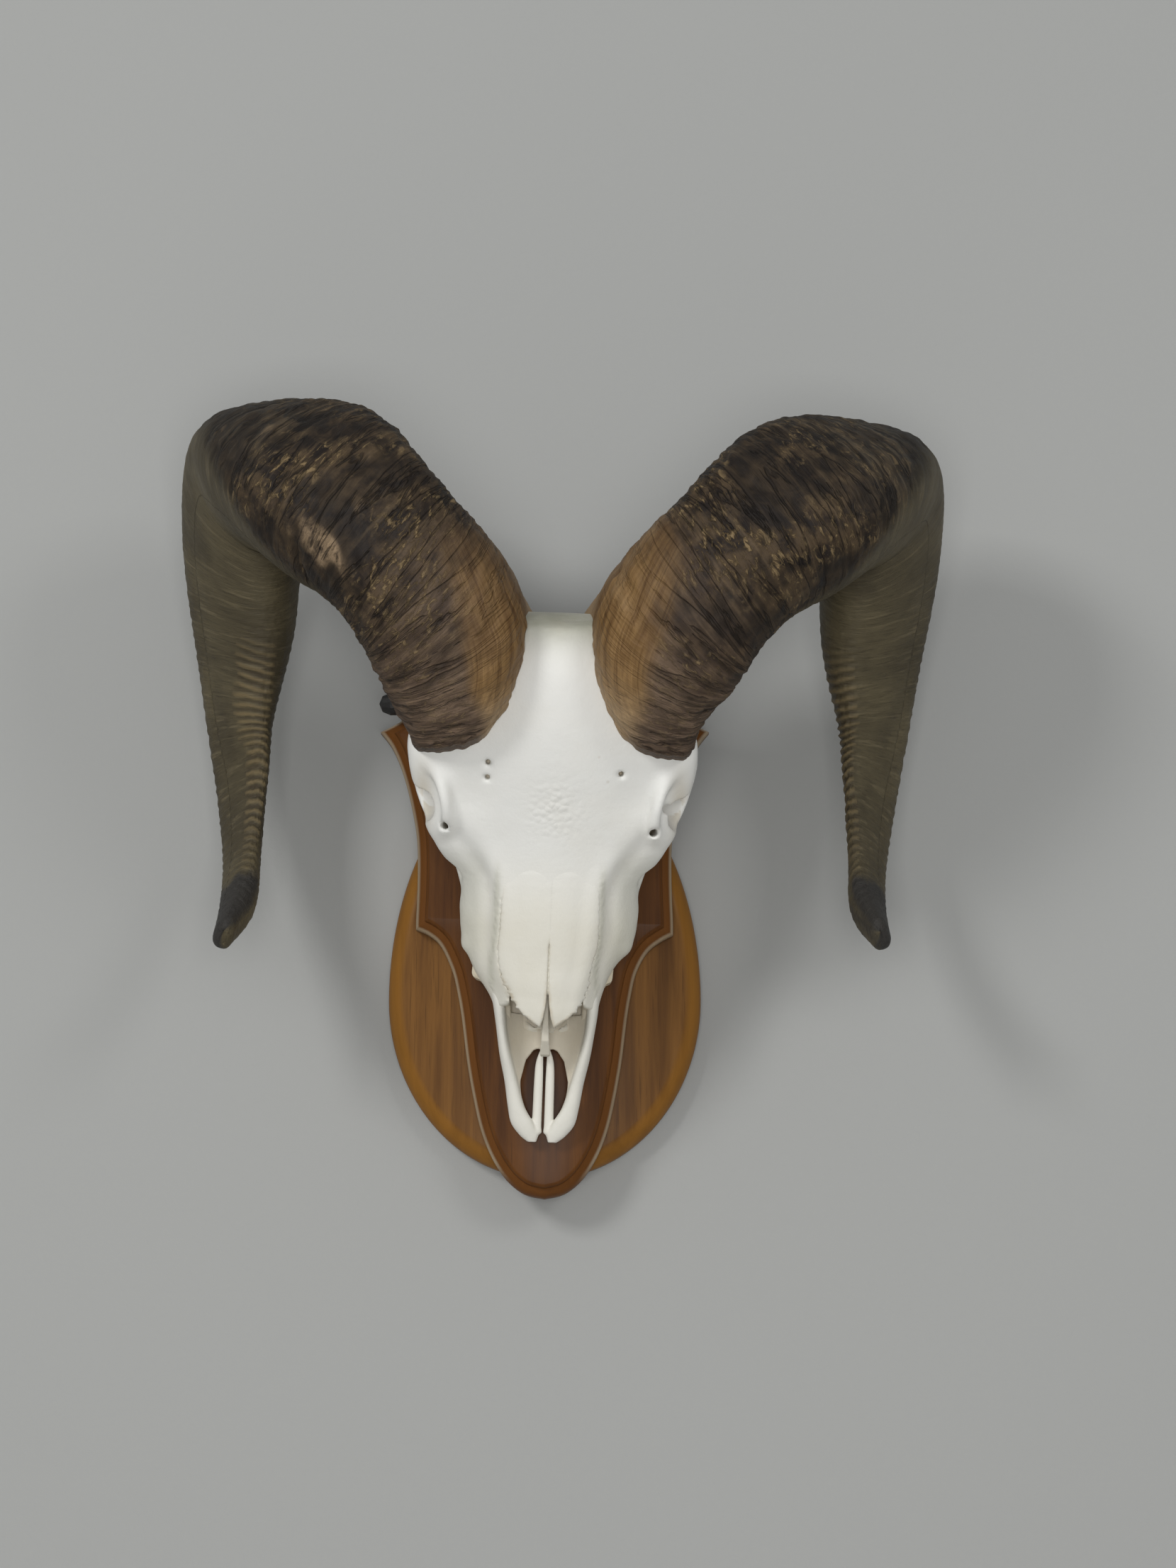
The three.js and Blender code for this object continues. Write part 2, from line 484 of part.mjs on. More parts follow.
// ---------------------------------------------------------------- horns
// Stations of one horn with its own stray at the tip, and two more that round the tip off.
function hornStations(name, side) {
  const [tipX, tipZ] = HORN_TIP_SHIFT[name];
  const [bellyX, bellyZ] = HORN_BELLY_SHIFT[name];
  const rows = HORN.map(([x, depth, z, ...rest], i) => {
    const stray = (i / (HORN.length - 1)) ** 2;
    const belly = Math.exp(-(((i - HORN_BELLY.station) / HORN_BELLY.spread) ** 2));
    return [side * (x + tipX * stray + bellyX * belly), depth, z + tipZ * stray + bellyZ * belly, ...rest];
  });
  const stations = evenSteps(rows, HORN_STEPS_PER_STATION)
    .map(([x, depth, z, half, out, keel, fx, fd, fz]) => ({
      middle: at(x, depth, z), half, out, keel, facing: at(side * fx, fd, fz),
    }));
  const last = stations.at(-1);
  const onward = last.middle.clone().sub(stations.at(-2).middle).normalize();
  const cap = HORN_CAP.map(([reach, share]) => ({
    middle: last.middle.clone().addScaledVector(onward, reach),
    half: last.half * share,
    out: last.out * share,
    keel: last.keel * share,
    facing: last.facing,
  }));
  return [...stations, ...cap];
}

// Rings square to the curl: a rounded triangle with its broad side to the front.
function hornRings(name, side) {
  const stations = hornStations(name, side);
  const round = (value) => Math.sign(value) * Math.abs(value) ** HORN_CORNER;
  return stations.map(({ middle, half, out, keel, facing }, i) => {
    const next = stations[Math.min(i + 1, stations.length - 1)].middle;
    const ahead = next.clone().sub(stations[Math.max(i - 1, 0)].middle).normalize();
    const front = facing.clone().addScaledVector(ahead, -facing.dot(ahead)).normalize();
    const across = new THREE.Vector3().crossVectors(ahead, front);
    return Array.from({ length: HORN_SIDES }, (_, k) => {
      const turn = 2 * Math.PI * k / HORN_SIDES;
      const [u, v] = [round(Math.cos(turn)), round(Math.sin(turn))];
      return middle.clone().addScaledVector(across, half * u * (1 + HORN_FLARE * v))
        .addScaledVector(front, (v > 0 ? out : keel) * v);
    });
  });
}

// The first ring again, dropped straight back into the bone.
function rootRing(ring) {
  return ring.map((p) => at(p.x, Math.min(-p.y - HORN_ROOT.sink, HORN_ROOT.depth), p.z));
}

SIDES.forEach(([name, side]) => {
  const rings = hornRings(name, side);
  const sheath = solid(ringSkin([rootRing(rings[0]), ...rings]));
  const seated = sheath.subtract(grownHead).subtract(rimSolid(side, GAP));
  place(bones, `horn_${name}`, geometryOf(mainBody(seated)), HORN_KERATIN);
});

place(mount, 'bracket', bracket(), BLACK_STEEL);

const group = new THREE.Group();
group.add(mount, bones);
group.updateMatrixWorld(true);

export default group;
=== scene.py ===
import math

import bpy
import numpy as np
import openvdb as vdb
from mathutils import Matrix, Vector


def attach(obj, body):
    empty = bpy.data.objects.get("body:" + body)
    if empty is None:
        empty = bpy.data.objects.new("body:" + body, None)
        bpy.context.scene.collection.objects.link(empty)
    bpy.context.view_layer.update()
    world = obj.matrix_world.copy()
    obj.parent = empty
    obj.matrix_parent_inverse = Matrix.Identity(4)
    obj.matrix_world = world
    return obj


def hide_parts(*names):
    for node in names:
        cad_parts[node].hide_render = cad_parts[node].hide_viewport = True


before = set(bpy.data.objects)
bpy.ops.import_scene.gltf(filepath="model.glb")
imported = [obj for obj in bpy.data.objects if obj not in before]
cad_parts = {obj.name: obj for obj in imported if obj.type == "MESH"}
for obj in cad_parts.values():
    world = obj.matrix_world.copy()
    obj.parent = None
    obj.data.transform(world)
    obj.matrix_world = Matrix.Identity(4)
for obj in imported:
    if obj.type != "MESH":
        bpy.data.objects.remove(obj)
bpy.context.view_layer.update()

MM = 0.001
HEAD_ROLL = math.radians(2.2)
HEAD_SHIFT_X = 3.4
SIDES = (("left", -1), ("right", 1))

# ---------------------------------------------------------------- sizes of the boards
BOARD_THICK = 18.0
BOARD_GAP = 0.3
BACK_HALF_WIDTH = 75.5
BACK_CENTRE_Z = -41.0
BACK_LOWER = 86.0
BACK_UPPER = 121.0
# Edge profiles from the back face to the front face: (inset, rise).
ROUND_EDGE = ((1.2, 0), (0.2, 0.6), (0, 1.6), (0, 8.5), (0.25, 10.5), (1.0, 12.6), (2.3, 14.6), (4.0, 16.3),
              (6.0, 17.5), (8.2, 18))
MOULDED_EDGE = ((0.8, 0), (0, 0.8), (0, 8.2), (0.15, 9.6), (0.7, 11.2), (1.7, 12.7), (3.0, 13.7), (4.1, 14.1),
                (4.5, 14.3), (4.7, 14.9), (4.8, 16.2), (5.1, 17.2), (5.7, 17.8), (6.5, 18))
SHIELD_BOTTOM = ((0, -137.5), (9.5, -135.2), (18, -128.5), (25, -118), (30.2, -105), (33.8, -90), (37, -72),
                 (39.5, -52), (41.5, -40), (44.2, -29), (49.5, -19.5), (56, -14.2), (61.8, -11.2))
SHIELD_WAIST = ((61.8, -11.2), (61.8, -5), (61.2, 12), (61.2, 28), (62.2, 40), (65.4, 56), (69.5, 70),
                (74.2, 80.5), (79.5, 87.5))
LEFT_CORNER_RAISED = 3.2                        # of the waist, as the real one was cut
SHIELD_TOP = ((79.5, 87.5), (70, 92.5), (61, 99.5), (50, 107.5), (36, 113.5), (20, 118), (6, 121), (0, 122.5))

# ---------------------------------------------------------------- sizes of the skull
# z, top, shoulder x d, widest x d, low x d, edge x d, base
HEAD = (
    (-75, 57, 8, 57, 13, 56, 13.5, 54, 10, 51.5, 51.5),
    (-62, 84, 13, 80, 21, 68, 20, 58, 15, 51, 52.5),
    (-46, 94, 17, 89, 25, 76, 25, 62, 20, 50, 55),
    (-32, 100, 22, 95, 32, 79, 32, 64, 28, 49, 57),
    (-15, 108, 24, 103, 40, 82, 39, 66, 34, 49, 59),
    (5, 117, 27, 112, 41, 92, 40, 70, 35, 50, 60),
    (20, 126, 37, 119, 53, 104, 42, 76, 34, 55, 62),
    (35, 137, 48, 129, 61, 113, 44, 80, 26, 60, 63),
    (55, 153, 54, 143, 66, 126, 42, 86, 20, 63, 64),
    (73, 165, 54, 152, 65, 132, 40, 92, 20, 66, 66),
    (92, 174, 44, 160, 52, 130, 39, 95, 23, 68, 68),
    (108, 175, 34, 163, 46, 130, 40, 97, 25, 70, 69),
    (117, 168, 30, 158, 43, 128, 39, 97, 24, 72, 71),
    (125, 142, 26, 138, 37, 118, 33, 95, 20, 76, 76),
    (129, 124, 18, 121, 27, 110, 24, 94, 14, 83, 83),
)
HEAD_LOW, HEAD_HIGH = -75.0, 129.0
SKULL_CELL = 1.12
NASAL_WIDTH = ((-61, 2.4), (-57, 8.5), (-52, 14), (-46, 17.5), (-40, 20.3), (-24, 23.2), (0, 22.6), (14, 19),
               (22, 13), (27, 6))
NASAL_SLIT = ((-62, 3.4), (-60, 3.0), (-56, 1.7), (-50, 0.7), (-44, 0.35), (-24, 0.2), (-17, -1.5),
              (27, -1.5))
NASAL_LIFT = ((-62, 0.4), (-25, 0.4), (-4, 0.12), (2, 0.02), (7, -0.25), (14, -1.2), (27, -2.0))
NASAL_THICK, NASAL_PLAY = 3.4, 0.45
NASAL_MIDLINE = 0.6
NOSE_RIM_Z, NOSE_FLOOR, NOSE_END_Z = -47.5, 75, -61.0
NOSE_PASSAGE = ((-90, 22, 56, 96), (-62, 16, 57, 96), (-46, 17, 60, 86), (-30, 15, 64, 90), (-8, 10, 72, 92),
                (10, 5, 80, 92))
ORBIT_AT = (57, 119, 47)
ORBIT_RADIUS = 21.0
ORBIT_RIM, ORBIT_RIM_FILLET = 2.6, 6.0
ORBIT_FACING = (0.90, 0.20, -0.36)
ORBIT_POCKET, ORBIT_POCKET_SINK, ORBIT_POCKET_SHIFT = (13, 13, 24), 5.5, (0, -7, -3)
# cheek bar: x, d, z, radius
CHEEK_BAR = ((50, 96, 32, 5.1), (57, 93, 48, 4.5), (58, 92, 66, 4.25), (54, 92, 84, 4.7), (45, 93, 98, 5.5))
# beside the nasal edge: x, d, z, how deep
CHEEK_FURROW = ((45, 117, 25, 0.3), (38, 114, 17, 0.9), (31, 109, 8, 1.0), (27.8, 104, -3, 0.9),
                (29.3, 99, -13, 0.6), (28.3, 95, -24, 0.6), (25.5, 90, -35, 0.4), (22, 86, -46, 0.2))
FURROW_HALF = (3.4, 9, 5.5)
# swells and hollows of each side's surface: (x, d, z), half sizes, height
CHEEK_SWELLS = (((37, 88, -8), (6, 14, 20), 0.9), ((39, 76, -22), (4, 8, 4), 1.6),
                ((41, 80, -3), (4, 8, 5), 0.9))
BROW_SWELLS = (((60, 136, 58), (9, 9, 16), 1.2), ((38, 134, 40), (9, 16, 12), -1.4))
SOCKET_RECESS = ((58, 132, 37), (5, 14, 12), -2.2)
POLL_SWELLS = (((0, 170, 116), (10, 22, 10), -2.6), ((-9, 158, 123), (5, 12, 6), 1.5),
               ((6, 160, 122), (6, 12, 5), -1.4))
VESSEL_HOLES = (((-30.4, 53.5), 5.5), ((-30.7, 47.2), 4.5), ((31.7, 50.8), 6))      # (x, z), depth
TEAR_PITS = ((-52, 26), (55.5, 38), (50.5, 26.5))                                   # x, z
PALATE_HOLLOW = ((-80, 10, 50), (-40, 18, 55), (-10, 22, 59), (20, 21, 61), (42, 14, 62))
PREMAX_BAR = ((-111.5, 4.8, 2, 41.5, 44.5), (-108.5, 6.5, 4.2, 40.5, 46.5), (-103, 9.6, 5.4, 41, 49.5),
              (-95, 12.9, 4, 43, 53), (-84, 15.5, 3.2, 46.5, 58), (-72, 18.6, 2.8, 51, 66),
              (-60, 20.8, 2.5, 58, 72.5), (-50, 21.9, 2.9, 63, 78.5), (-42, 22.6, 3, 68, 81),
              (-34, 23.3, 1.6, 73, 84))
PREMAX_SPLINT = ((-107, 2.9, 2.3, 41, 45), (-95, 2.8, 2.2, 44, 48), (-82, 2.7, 2.1, 48, 51.5),
                 (-74, 2.5, 1.7, 49.8, 53.5), (-68, 1.6, 0.6, 52, 53.6))
# floor between the side bar and the palate slit: z and the inner edge, the outer edge, the depth at
# the slit and the climb towards the bar; last, where the bar's own inner side is
PREMAX_SLIT = ((-100, 9), (-96, 9.5), (-91, 11.2), (-83, 11.2), (-73.5, 9), (-68.5, 5.4), (-67.6, 0.3),
               (-60, 0.3))
PREMAX_REACH = ((-100, 10), (-95, 12.9), (-84, 15.5), (-72, 18.6), (-60, 20.8), (-46, 22))
PREMAX_FLOOR = ((-100, 45), (-92, 47.5), (-84, 49.5), (-72, 52), (-60, 54.5), (-46, 57))
PREMAX_CLIMB = ((-100, 0.5), (-84, 4), (-72, 9), (-60, 13), (-46, 16))
PREMAX_BAR_INSIDE = ((-100, 8), (-95, 9.6), (-84, 12.9), (-72, 16.2), (-60, 18.6), (-46, 20))
FINE_CELL, SEPTUM_CELL = 0.55, 0.5
# septum: z, half width, low, high
SEPTUM = ((-72, 2.3, 58, 68), (-66, 1.9, 58, 76), (-54, 1.1, 60.3, 82), (-40, 0.9, 62.5, 84))
TOOTH_ROW_X = (27.5, 30.5, 31, 30.5, 29.5, 27.5)
TOOTH_FIRST_Z, TOOTH_PITCH = -32.0, 12.2
TOOTH_ROOT, TOOTH_TIP = 60.0, 41.0
TOOTH_AROUND, TOOTH_WALL_ROWS, TOOTH_CROWN_ROWS = 56, 12, 9
SKULL_NODES = ("cranium", "orbit_left", "orbit_right", "maxilla_left", "maxilla_right")

# ---------------------------------------------------------------- sizes of the horns
# sideways, depth, height, half width, out, keel, facing sideways, out from the wall, up
HORN = (
    (34, 130, 96.2, 22.5, 52, 47, 0.3, 0.62, -0.72),
    (51, 153.2, 123, 35, 56.5, 53.7, -0.02, 0.85, -0.53),
    (82, 162.1, 148, 34, 54.4, 45.2, -0.08, 1, 0.04),
    (106.5, 156.7, 166, 38.4, 45.3, 35.7, 0.09, 0.85, 0.52),
    (127, 139.8, 178, 36, 41, 31.3, 0.16, 0.47, 0.87),
    (139, 115.5, 181.3, 32, 39, 30.8, 0.23, -0.18, 0.96),
    (146, 86.6, 162.2, 27, 32.9, 34.3, 0.34, -0.66, 0.67),
    (147, 65.1, 127.7, 22.5, 24.5, 34.3, 0.4, -0.84, 0.38),
    (149.8, 53.7, 86, 13.7, 18, 28.9, 0.45, -0.89, 0.09),
    (148, 58.2, 52.5, 8.5, 15.8, 20.9, 0.52, -0.79, -0.32),
    (145, 75.3, 21.7, 7.2, 13.5, 12.5, 0.46, -0.68, -0.57),
    (144, 99.6, -1.7, 7.5, 12.5, 8.5, 0.33, -0.59, -0.73),
    (148, 122.5, -16.5, 4.5, 12.2, 5.7, 0.26, -0.54, -0.8),
)
HORN_TIP_SHIFT = {"left": (-1, -5.5), "right": (2.5, 5.6)}
HORN_BELLY_SHIFT = {"left": (3, 0.4), "right": (-1.5, 0)}
HORN_BELLY_STATION, HORN_BELLY_SPREAD = 6.5, 2.2
HORN_ROOT_DEPTH, HORN_ROOT_SINK, HORN_ROOT_ROWS = 118.0, 3.0, 9
# ridged band on the far arm of the curl: where it starts and stops round the section, in degrees
HORN_BAND = {"left": (248, 264, 312, 330), "right": (205, 225, 284, 304)}
HORN_FLARE, HORN_CORNER, HORN_BASE_CORNER = 0.3, 0.8, 0.56
HORN_BASE_SHARE = 0.15                          # share of the length that the base shape fades over
# at the base: outer corner rounder, outer side shorter by this share, ring skewed by this many mm
HORN_BASE_ROUND = {"left": 0.32, "right": 0.6}
HORN_BASE_TRIM = {"left": 0.0, "right": 0.11}
HORN_BASE_SKEW = {"left": 4.0, "right": 7.0}
HORN_AMBER = {"left": (102, 115), "right": (95, 109)}
HORN_CHIP_AT, HORN_CHIP_HALF = (89, 51), (7, 9)   # bare patch: mm from the skull, degrees round
HORN_ROWS, HORN_TIP_ROWS, HORN_AROUND = 404, 14, 228
HORN_TIP_REACH = 6.5
HORN_RIDGE_PITCH, HORN_WRINKLE_PITCH = 5.4, 3.3
HORN_MAP_RADIUS = 25.0                          # girth of the growth map
HORN_YEARS = (40, 96, 160, 226, 300, 372)       # deeper grooves between the years, from the skull

# ---------------------------------------------------------------- colours, lamps and camera
WALNUT_BACK = {"dark": (0.100, 0.042, 0.011), "light": (0.208, 0.095, 0.023),
               "streak": (0.053, 0.022, 0.007), "edge": (0.26, 0.115, 0.019)}
WALNUT_FRONT = {"dark": (0.058, 0.021, 0.006), "light": (0.120, 0.046, 0.011),
                "streak": (0.032, 0.012, 0.003), "edge": (0.140, 0.053, 0.012)}
WALL_TINT, FLOOR_TINT = (0.370, 0.373, 0.360), (0.62, 0.61, 0.59)
# name, place in metres, width in metres, watts
LAMPS = (("key", (-1.2, -2.0, 0.9), 0.5, 20.5), ("front", (0.0, -2.3, -0.3), 0.6, 15.5),
         ("fill", (1.3, -2.0, 0.9), 0.6, 9))
LAMP_AIM = (0, -0.1, 0)
ROOM_TINT, ROOM_LIGHT = (0.95, 0.97, 1.0, 1), 0.34
CAMERA_PLACE, CAMERA_TILT, CAMERA_LENS = (0.02092, -1.98151, -0.21248), 98, 93.74


# ---------------------------------------------------------------- small tools
def bend(a, b, c, e, f):
    """Catmull-Rom curve from b to c at the share f, with a before b and e after c:
    half of (2b + (c-a)f + (2a-5b+4c-e)f2 + (3b-a-3c+e)f3)."""
    return 0.5 * (2 * b + (c - a) * f + (2 * a - 5 * b + 4 * c - e) * f ** 2
                  + (3 * b - a - 3 * c + e) * f ** 3)


def along(rows, t):
    """Smooth curve through rows at the places t, counted in rows."""
    rows = np.asarray(rows, float)
    last = len(rows) - 1
    t = np.asarray(t, float)
    i = np.clip(np.floor(t).astype(int), 0, last - 1)
    a, b, c, e = (rows[np.clip(i + k, 0, last)] for k in (-1, 0, 1, 2))
    return bend(a, b, c, e, (t - i)[..., None])


def between(pairs, place):
    """Straight lines through (place, value) pairs."""
    pairs = np.asarray(pairs, float)
    return np.interp(place, pairs[:, 0], pairs[:, 1])


def ease(low, high, value):
    """0 below low, 1 above high and a smooth S between."""
    t = np.clip((value - low) / (high - low), 0, 1)
    return t * t * (3 - 2 * t)


def unit(vectors):
    """Vectors of length 1."""
    return vectors / np.maximum(np.linalg.norm(vectors, axis=-1, keepdims=True), 1e-9)


def sided(side, at):
    """A place given for the right side, on either side."""
    return side * at[0], at[1], at[2]


def hung(points):
    """Skull frame to scene: x' = shift + x cos r + z sin r, y' = -d, z' = z cos r - x sin r."""
    x, d, z = np.moveaxis(np.asarray(points, float), -1, 0)
    c, s = math.cos(HEAD_ROLL), math.sin(HEAD_ROLL)
    return np.stack([HEAD_SHIFT_X + x * c + z * s, -d, z * c - x * s], -1) * MM


def flat_on_wall(points):
    """Board frame to scene: the same axes without the skull's roll."""
    x, d, z = np.moveaxis(np.asarray(points, float), -1, 0)
    return np.stack([x, -d, z], -1) * MM


def lattice_noise(rows, around, cells, seed, octaves=4):
    """Smooth random heights on a grid that closes on itself around: random lattices of
    doubling fineness and halving weight, each spread with S-curve blending."""
    rng = np.random.default_rng(seed)
    total = np.zeros((rows, around))
    weight = 1.0
    along_cells, round_cells = cells
    for _ in range(octaves):
        lattice = rng.uniform(-1, 1, (along_cells + 2, round_cells))
        r = np.linspace(0, along_cells, rows)
        k = np.linspace(0, round_cells, around, endpoint=False)
        i, j = np.floor(r).astype(int), np.floor(k).astype(int)
        f, g = ease(0, 1, r - i)[:, None], ease(0, 1, k - j)[None, :]
        jn = (j + 1) % round_cells
        upper = lattice[i][:, j] * (1 - g) + lattice[i][:, jn] * g
        lower = lattice[i + 1][:, j] * (1 - g) + lattice[i + 1][:, jn] * g
        total += weight * (upper * (1 - f) + lower * f)
        weight *= 0.5
        along_cells *= 2
        round_cells *= 2
    return total


# ---------------------------------------------------------------- finishes
class Num:
    """A number socket of a shader; sums, differences and products of it add Math nodes."""

    def __init__(self, finish, socket):
        self.finish = finish
        self.socket = socket

    def math(self, operation, a, b):
        made = self.finish.node("ShaderNodeMath", {"operation": operation}, {0: a, 1: b})
        return Num(self.finish, made.outputs[0])

    def __add__(self, other):
        return self.math("ADD", self, other)

    def __sub__(self, other):
        return self.math("SUBTRACT", self, other)

    def __mul__(self, other):
        return self.math("MULTIPLY", self, other)

    def __rsub__(self, other):
        return self.math("SUBTRACT", other, self)

    def __abs__(self):
        return self.math("ABSOLUTE", self, 0)

    __radd__ = __add__
    __rmul__ = __mul__

    def step(self, low, high):
        """0 at low and 1 at high, with a smooth rise between."""
        made = self.finish.node("ShaderNodeMapRange", {"interpolation_type": "SMOOTHSTEP"},
                                {"Value": self, "From Min": low, "From Max": high})
        return Num(self.finish, made.outputs[0])


class Finish:
    """A procedural material with one Principled shader."""

    def __init__(self, name):
        self.material = bpy.data.materials.new(name)
        self.material.use_nodes = True
        self.tree = self.material.node_tree
        self.tree.nodes.clear()
        self.shader = self.node("ShaderNodeBsdfPrincipled")
        self.output = self.node("ShaderNodeOutputMaterial", {}, {"Surface": self.shader.outputs[0]})

    def node(self, kind, settings=None, sockets=None):
        """A node of any type: its settings first, then the values or links of its sockets."""
        made = self.tree.nodes.new(kind)
        for key, value in (settings or {}).items():
            setattr(made, key, value)
        for key, value in (sockets or {}).items():
            value = value.socket if isinstance(value, Num) else value
            if isinstance(value, bpy.types.NodeSocket):
                self.tree.links.new(value, made.inputs[key])
            elif value is not None:
                made.inputs[key].default_value = value
        return made

    def coords(self, scale=(1, 1, 1)):
        """Places on the piece, stretched by scale."""
        source = self.node("ShaderNodeTexCoord").outputs["Object"]
        return self.node("ShaderNodeMapping", {}, {"Vector": source, "Scale": scale}).outputs[0]

    def noise(self, where, scale, detail=4.0, rough=0.5, twist=0.0):
        """Cloudy pattern from 0 to 1."""
        made = self.node("ShaderNodeTexNoise", {}, {"Vector": where, "Scale": scale, "Detail": detail,
                                                    "Roughness": rough, "Distortion": twist})
        return Num(self, made.outputs["Fac"])

    def spots(self, where, scale):
        """Distance from the nearest of many scattered points."""
        made = self.node("ShaderNodeTexVoronoi", {}, {"Vector": where, "Scale": scale})
        return Num(self, made.outputs["Distance"])

    def mark(self, name):
        """A number stored on the piece's own points."""
        made = self.node("ShaderNodeAttribute", {"attribute_name": name})
        return Num(self, made.outputs["Fac"])

    def blend(self, share, first, second):
        """First colour where share is 0, second where it is 1."""
        colour = [c if isinstance(c, bpy.types.NodeSocket) else (*c, 1) for c in (first, second)]
        made = self.node("ShaderNodeMix", {"data_type": "RGBA"}, {0: share, 6: colour[0], 7: colour[1]})
        return made.outputs[2]

    def dress(self, colour, roughness, height=None, depth=0.001, strength=1.0, **fixed):
        """Wires the shader: colour, roughness, a bump of height times depth, and fixed values."""
        wires = {"Base Color": colour, "Roughness": roughness}
        if height is not None:
            bump = self.node("ShaderNodeBump", {},
                             {"Strength": strength, "Distance": depth, "Height": height})
            wires["Normal"] = bump.outputs[0]
        for key, value in {**wires, **{k.replace("_", " "): v for k, v in fixed.items()}}.items():
            value = value.socket if isinstance(value, Num) else value
            if isinstance(value, bpy.types.NodeSocket):
                self.tree.links.new(value, self.shader.inputs[key])
            else:
                self.shader.inputs[key].default_value = (*value, 1) if isinstance(value, tuple) else value
        return self.material


def whitened_bone():
    """Near-white bone: faint cream clouds, beige painted shade in the hollows, grey-green painted shade,
    pores and lumps.
    """
    f = Finish("whitened_bone")
    where = f.coords()
    clouds = f.noise(where, 22, 5, 0.6).step(0.45, 0.8)
    hollow, seam, shade, lumpy, cream = (
        f.mark(name) for name in ("hollow", "seam", "shade", "lumpy", "cream"))
    stain = f.noise(where, 60, 6, 0.65)
    tint = f.blend(clouds * 0.35, (0.80, 0.795, 0.755), (0.76, 0.735, 0.655))
    tint = f.blend(cream * (0.55 + 0.5 * stain), tint, (0.70, 0.67, 0.57))
    # grey-green painted shade on the cheeks and beside the nasal edges, and on the poll, where it is partly
    # stain
    tint = f.blend(shade * (0.6 + 0.6 * stain), tint, (0.40, 0.40, 0.305))
    # beige painted shade in the hollows: deeper below the head form and round the sockets
    tint = f.blend(hollow * (0.75 + 0.5 * stain), tint, (0.58, 0.52, 0.41))
    tint = f.blend(seam * stain.step(0.42, 0.7) * 0.6, tint, (0.48, 0.39, 0.25))
    specks = 1 - f.spots(where, 70).step(0.03, 0.07)
    tint = f.blend(specks * f.noise(where, 9, 2).step(0.60, 0.72) * 0.6, tint, (0.36, 0.24, 0.13))
    pores = f.noise(where, 950, 3, 0.6)
    lumps = f.noise(where, 150, 4, 0.55)
    hairs = f.noise(f.coords(scale=(900, 900, 60)), 1, 3, 0.6)
    knobs = 1 - f.spots(where, 300).step(0.0, 0.8)
    height = pores * 0.10 + lumps * (0.5 + 0.9 * shade) + hairs * 0.12 + knobs * lumpy * 0.8
    return f.dress(tint, 0.46 + 0.18 * stain, height, 0.0009, 0.55, Specular_IOR_Level=0.42)


def tooth_enamel():
    """Ivory enamel with brown lines in the furrows."""
    f = Finish("tooth_enamel")
    where = f.coords()
    furrow = f.mark("hollow")
    lines = f.noise(f.coords(scale=(500, 60, 500)), 1, 4, 0.6)
    tint = f.blend(lines * 0.6, (0.72, 0.66, 0.52), (0.60, 0.50, 0.34))
    tint = f.blend(furrow, tint, (0.12, 0.08, 0.05))
    return f.dress(tint, 0.28 + 0.3 * lines, lines + 0.4 * f.noise(where, 400), 0.0006, 0.5)


